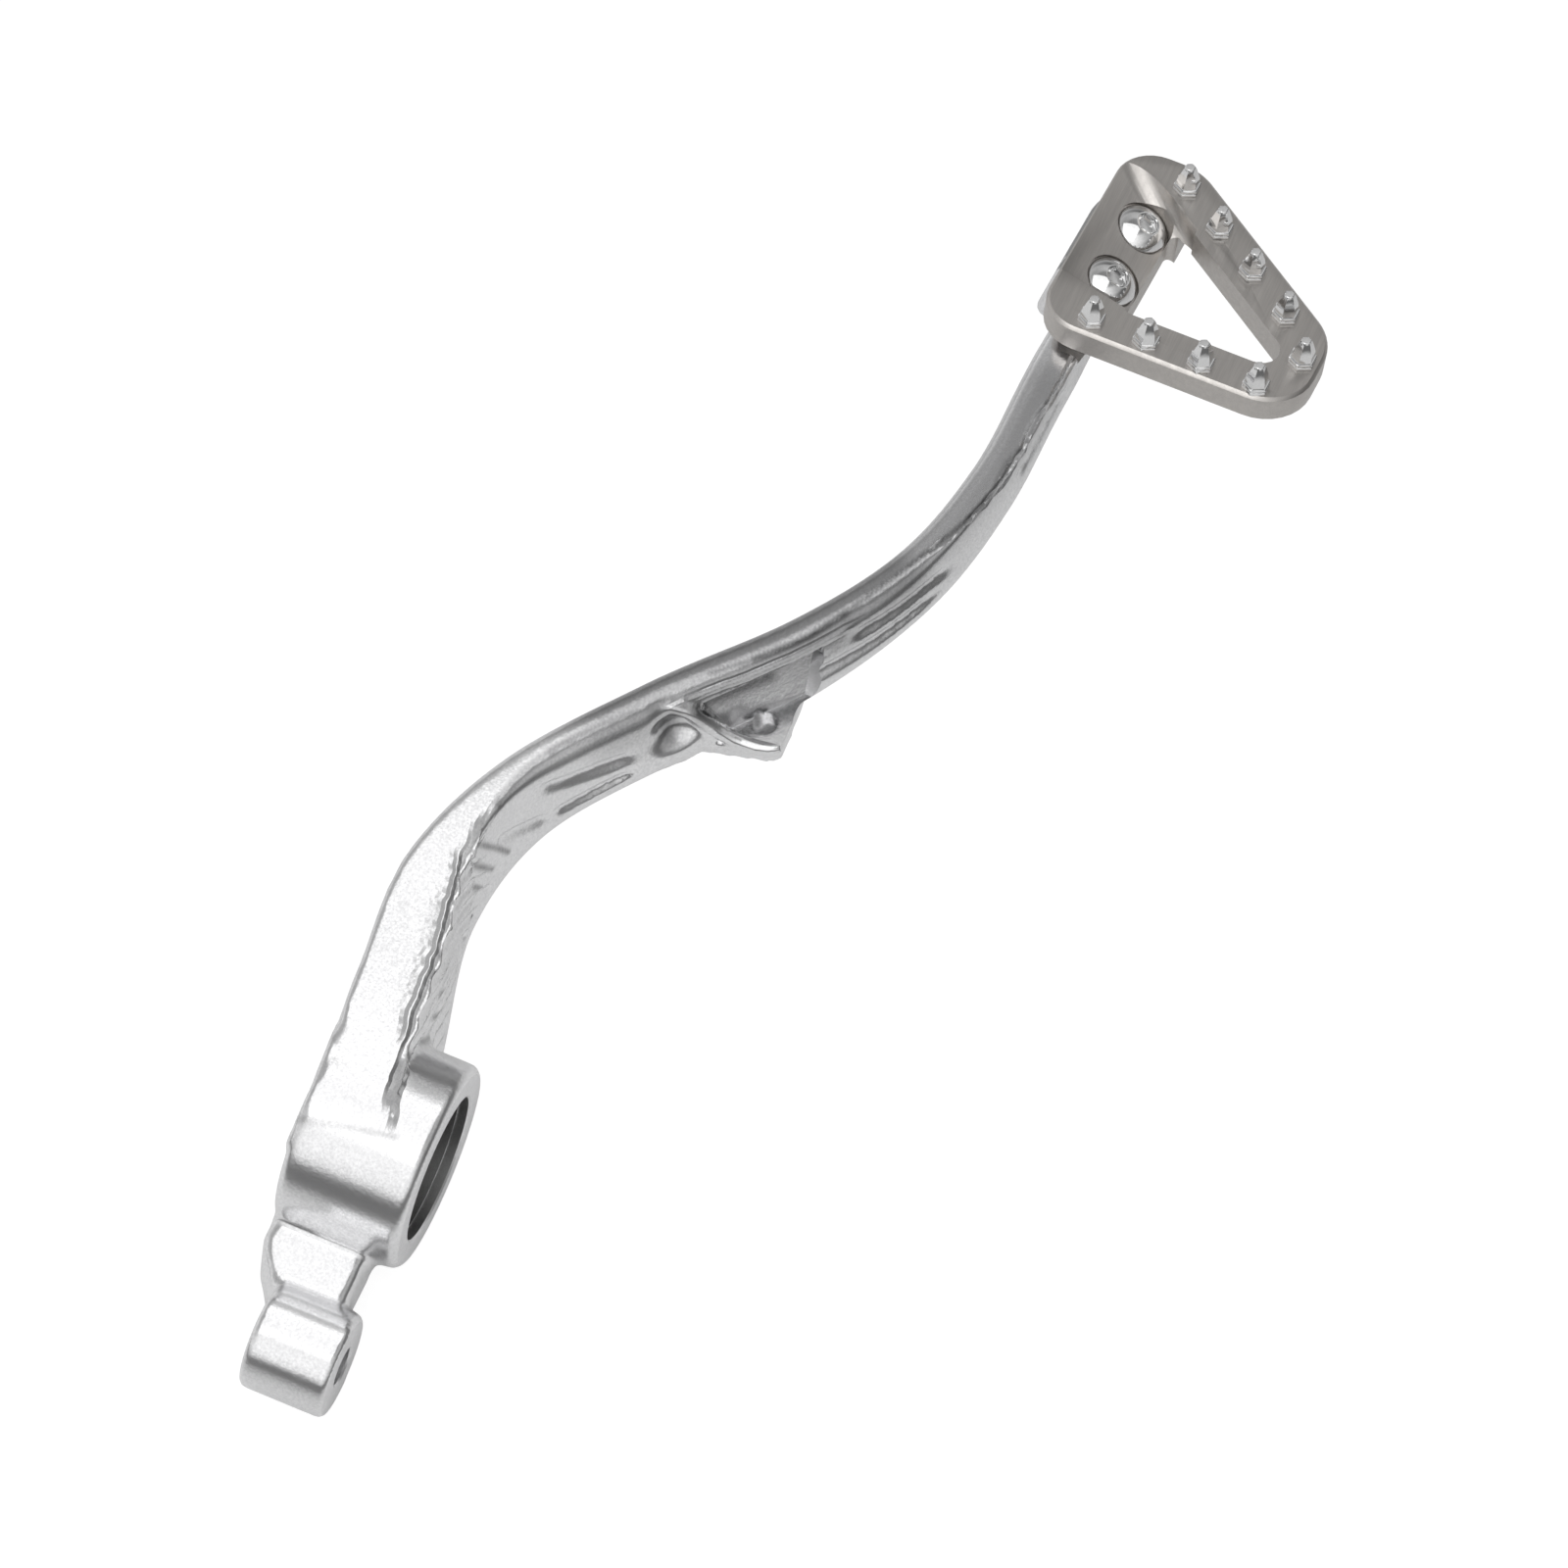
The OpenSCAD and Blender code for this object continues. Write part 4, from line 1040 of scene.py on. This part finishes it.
stageShape = {
    "floorZ": -24.62, "floorHalf": 4000.0, "floorColor": 0.74, "floorGlow": 1.2, "seenShare": 0.75,
    # what the part's reflections see of the floor: a dim card behind x -0.14 m, fading out to x -0.05 m
    "mirrorShare": 0.06, "cardGlow": 0.10, "cardShare": 0.9, "cardFade": [-0.14, -0.05],
}


def mixedInto(tree, out, share, first, second):
    mix = node(tree, "MixShader", i0=share, i1=first.outputs[0], i2=second.outputs[0])
    tree.links.new(mix.outputs[0], out.inputs[0])


def makeFloor():
    s = stageShape
    half, z = s["floorHalf"], s["floorZ"]
    corners = [[-half, -half, z], [half, -half, z], [half, half, z], [-half, half, z]]
    floor = addMesh("floor", corners, [[0, 1, 2, 3]])
    material = bpy.data.materials.new("paleFloor")
    material.use_nodes = True
    tree = material.node_tree
    tree.nodes.remove(tree.nodes["Principled BSDF"])
    out = tree.nodes["Material Output"]
    paper = node(tree, "BsdfDiffuse", Color=(s["floorColor"],) * 3 + (1,))
    path = node(tree, "LightPath").outputs
    strength = ramp(tree, path["Is Camera Ray"], 0, 1, s["cardGlow"], s["floorGlow"])
    glow = node(tree, "Emission", Color=(1, 1, 1, 1), Strength=strength)
    place = node(tree, "SeparateXYZ", Vector=node(tree, "TexCoord").outputs["Object"])
    card = ramp(tree, place.outputs[0], *s["cardFade"], s["cardShare"], s["mirrorShare"])
    seen = times(tree, path["Is Camera Ray"], s["seenShare"])
    share = math(tree, "MAXIMUM", seen, times(tree, path["Is Glossy Ray"], card))
    mixedInto(tree, out, share, paper, glow)
    floor.data.materials.append(material)


skyShape = {
    # height of the direction (sine of its elevation) and brightness there, by the side that it lies on
    "ahead": [(0.0, 0.70), (0.16, 0.30), (0.42, 0.12), (0.60, 0.50), (0.82, 0.60), (0.92, 0.30), (1.0, 0.25)],
    "outboard": [(0.0, 0.45), (0.08, 0.14), (0.40, 0.14), (0.58, 0.44), (0.80, 0.48), (0.90, 0.25), (1.0, 0.25)],
    "behind": [(0.0, 0.10), (0.10, 0.14), (0.26, 1.0), (0.50, 1.15), (0.80, 1.15), (0.92, 0.50), (1.0, 0.25)],
    "inboard": [(0.0, 0.95), (0.20, 0.75), (0.50, 0.50), (0.70, 0.36), (0.80, 0.34), (0.90, 0.22), (1.0, 0.25)],
}


def skyStrip(tree, height, bands):
    made = node(tree, "ValToRGB", Fac=height)
    made.color_ramp.interpolation = "EASE"
    strips = made.color_ramp.elements
    while len(strips) < len(bands):
        strips.new(0.5)
    for strip, (place, value) in zip(strips, bands):
        strip.position = place
        strip.color = (value, value, value, 1)
    return made.outputs[0]


def makeWorld():
    world = bpy.data.worlds.new("studio")
    bpy.context.scene.world = world
    world.use_nodes = True
    tree = world.node_tree
    tree.nodes.clear()
    out = node(tree, "OutputWorld")
    direction = node(tree, "TexCoord").outputs["Generated"]
    parts = node(tree, "SeparateXYZ", Vector=direction).outputs
    # the level part of the direction, kept off zero straight up
    flat = math(tree, "SQRT", math(tree, "SUBTRACT", 1.0, times(tree, parts[2], parts[2])))
    flat = math(tree, "MAXIMUM", flat, 0.02)
    x, y = math(tree, "DIVIDE", parts[0], flat), math(tree, "DIVIDE", parts[1], flat)
    sides = {"ahead": x, "behind": times(tree, x, -1.0), "inboard": y, "outboard": times(tree, y, -1.0)}
    total = 0.0
    for side, share in sides.items():
        share = math(tree, "MAXIMUM", share, 0.0)
        strip = skyStrip(tree, parts[2], skyShape[side])
        total = plus(tree, total, times(tree, times(tree, share, share), strip))
    studio = node(tree, "Background", Color=total, Strength=1.0)
    white = node(tree, "Background", Color=(1, 1, 1, 1), Strength=1.0)
    seen = node(tree, "LightPath").outputs["Is Camera Ray"]
    mixedInto(tree, out, seen, studio, white)


lamps = {
    "overHub": {"place": (-5, 60, 400), "target": (-5, 60, 0), "size": (530, 420), "glow": 0.95,
                "mirrored": True},
    "high": {"place": (-1000, -100, 1600), "target": (100, 0, 0), "size": (900, 900), "glow": 5.0,
             "mirrored": False},
}


def makeLamps():
    for name, l in lamps.items():
        data = bpy.data.lights.new(name, "AREA")
        data.shape = "RECTANGLE"
        data.size, data.size_y = l["size"][0] * mm, l["size"][1] * mm
        data.energy = l["glow"] * np.pi * data.size * data.size_y
        lamp = bpy.data.objects.new(name, data)
        lamp.visible_glossy = l["mirrored"]
        bpy.context.scene.collection.objects.link(lamp)
        place, target = Vector(l["place"]) * mm, Vector(l["target"]) * mm
        turn = (place - target).to_track_quat("Z", "Y")
        lamp.matrix_world = Matrix.Translation(place) @ turn.to_matrix().to_4x4()


cameraShape = {
    # the camera's axes in the part's frame, and its place along them
    "right": (0.36142, -0.92348, 0.12872), "up": (0.72943, 0.36603, 0.57788),
    "back": (-0.58078, -0.11496, 0.80590), "offset": (79.704, 70.640, 1139.579), "focalPixels": 5928.0,
    "imagePixels": 1600.0, "sensor": 36, "clip": (0.05, 50),
}


def makeCamera():
    c = cameraShape
    axes = np.array([c["right"], c["up"], c["back"]])
    place = np.asarray(c["offset"]) @ axes * mm
    data = bpy.data.cameras.new("camera")
    data.sensor_width = c["sensor"]
    data.lens = c["focalPixels"] / c["imagePixels"] * data.sensor_width
    data.clip_start, data.clip_end = c["clip"]
    camera = bpy.data.objects.new("camera", data)
    camera.matrix_world = Matrix([[*axes[:, k], place[k]] for k in range(3)] + [[0, 0, 0, 1]])
    bpy.context.scene.collection.objects.link(camera)
    bpy.context.scene.camera = camera


makeFloor()
makeWorld()
makeLamps()
makeCamera()
bpy.context.scene.view_settings.view_transform = "Standard"
print("stage: studio ready")
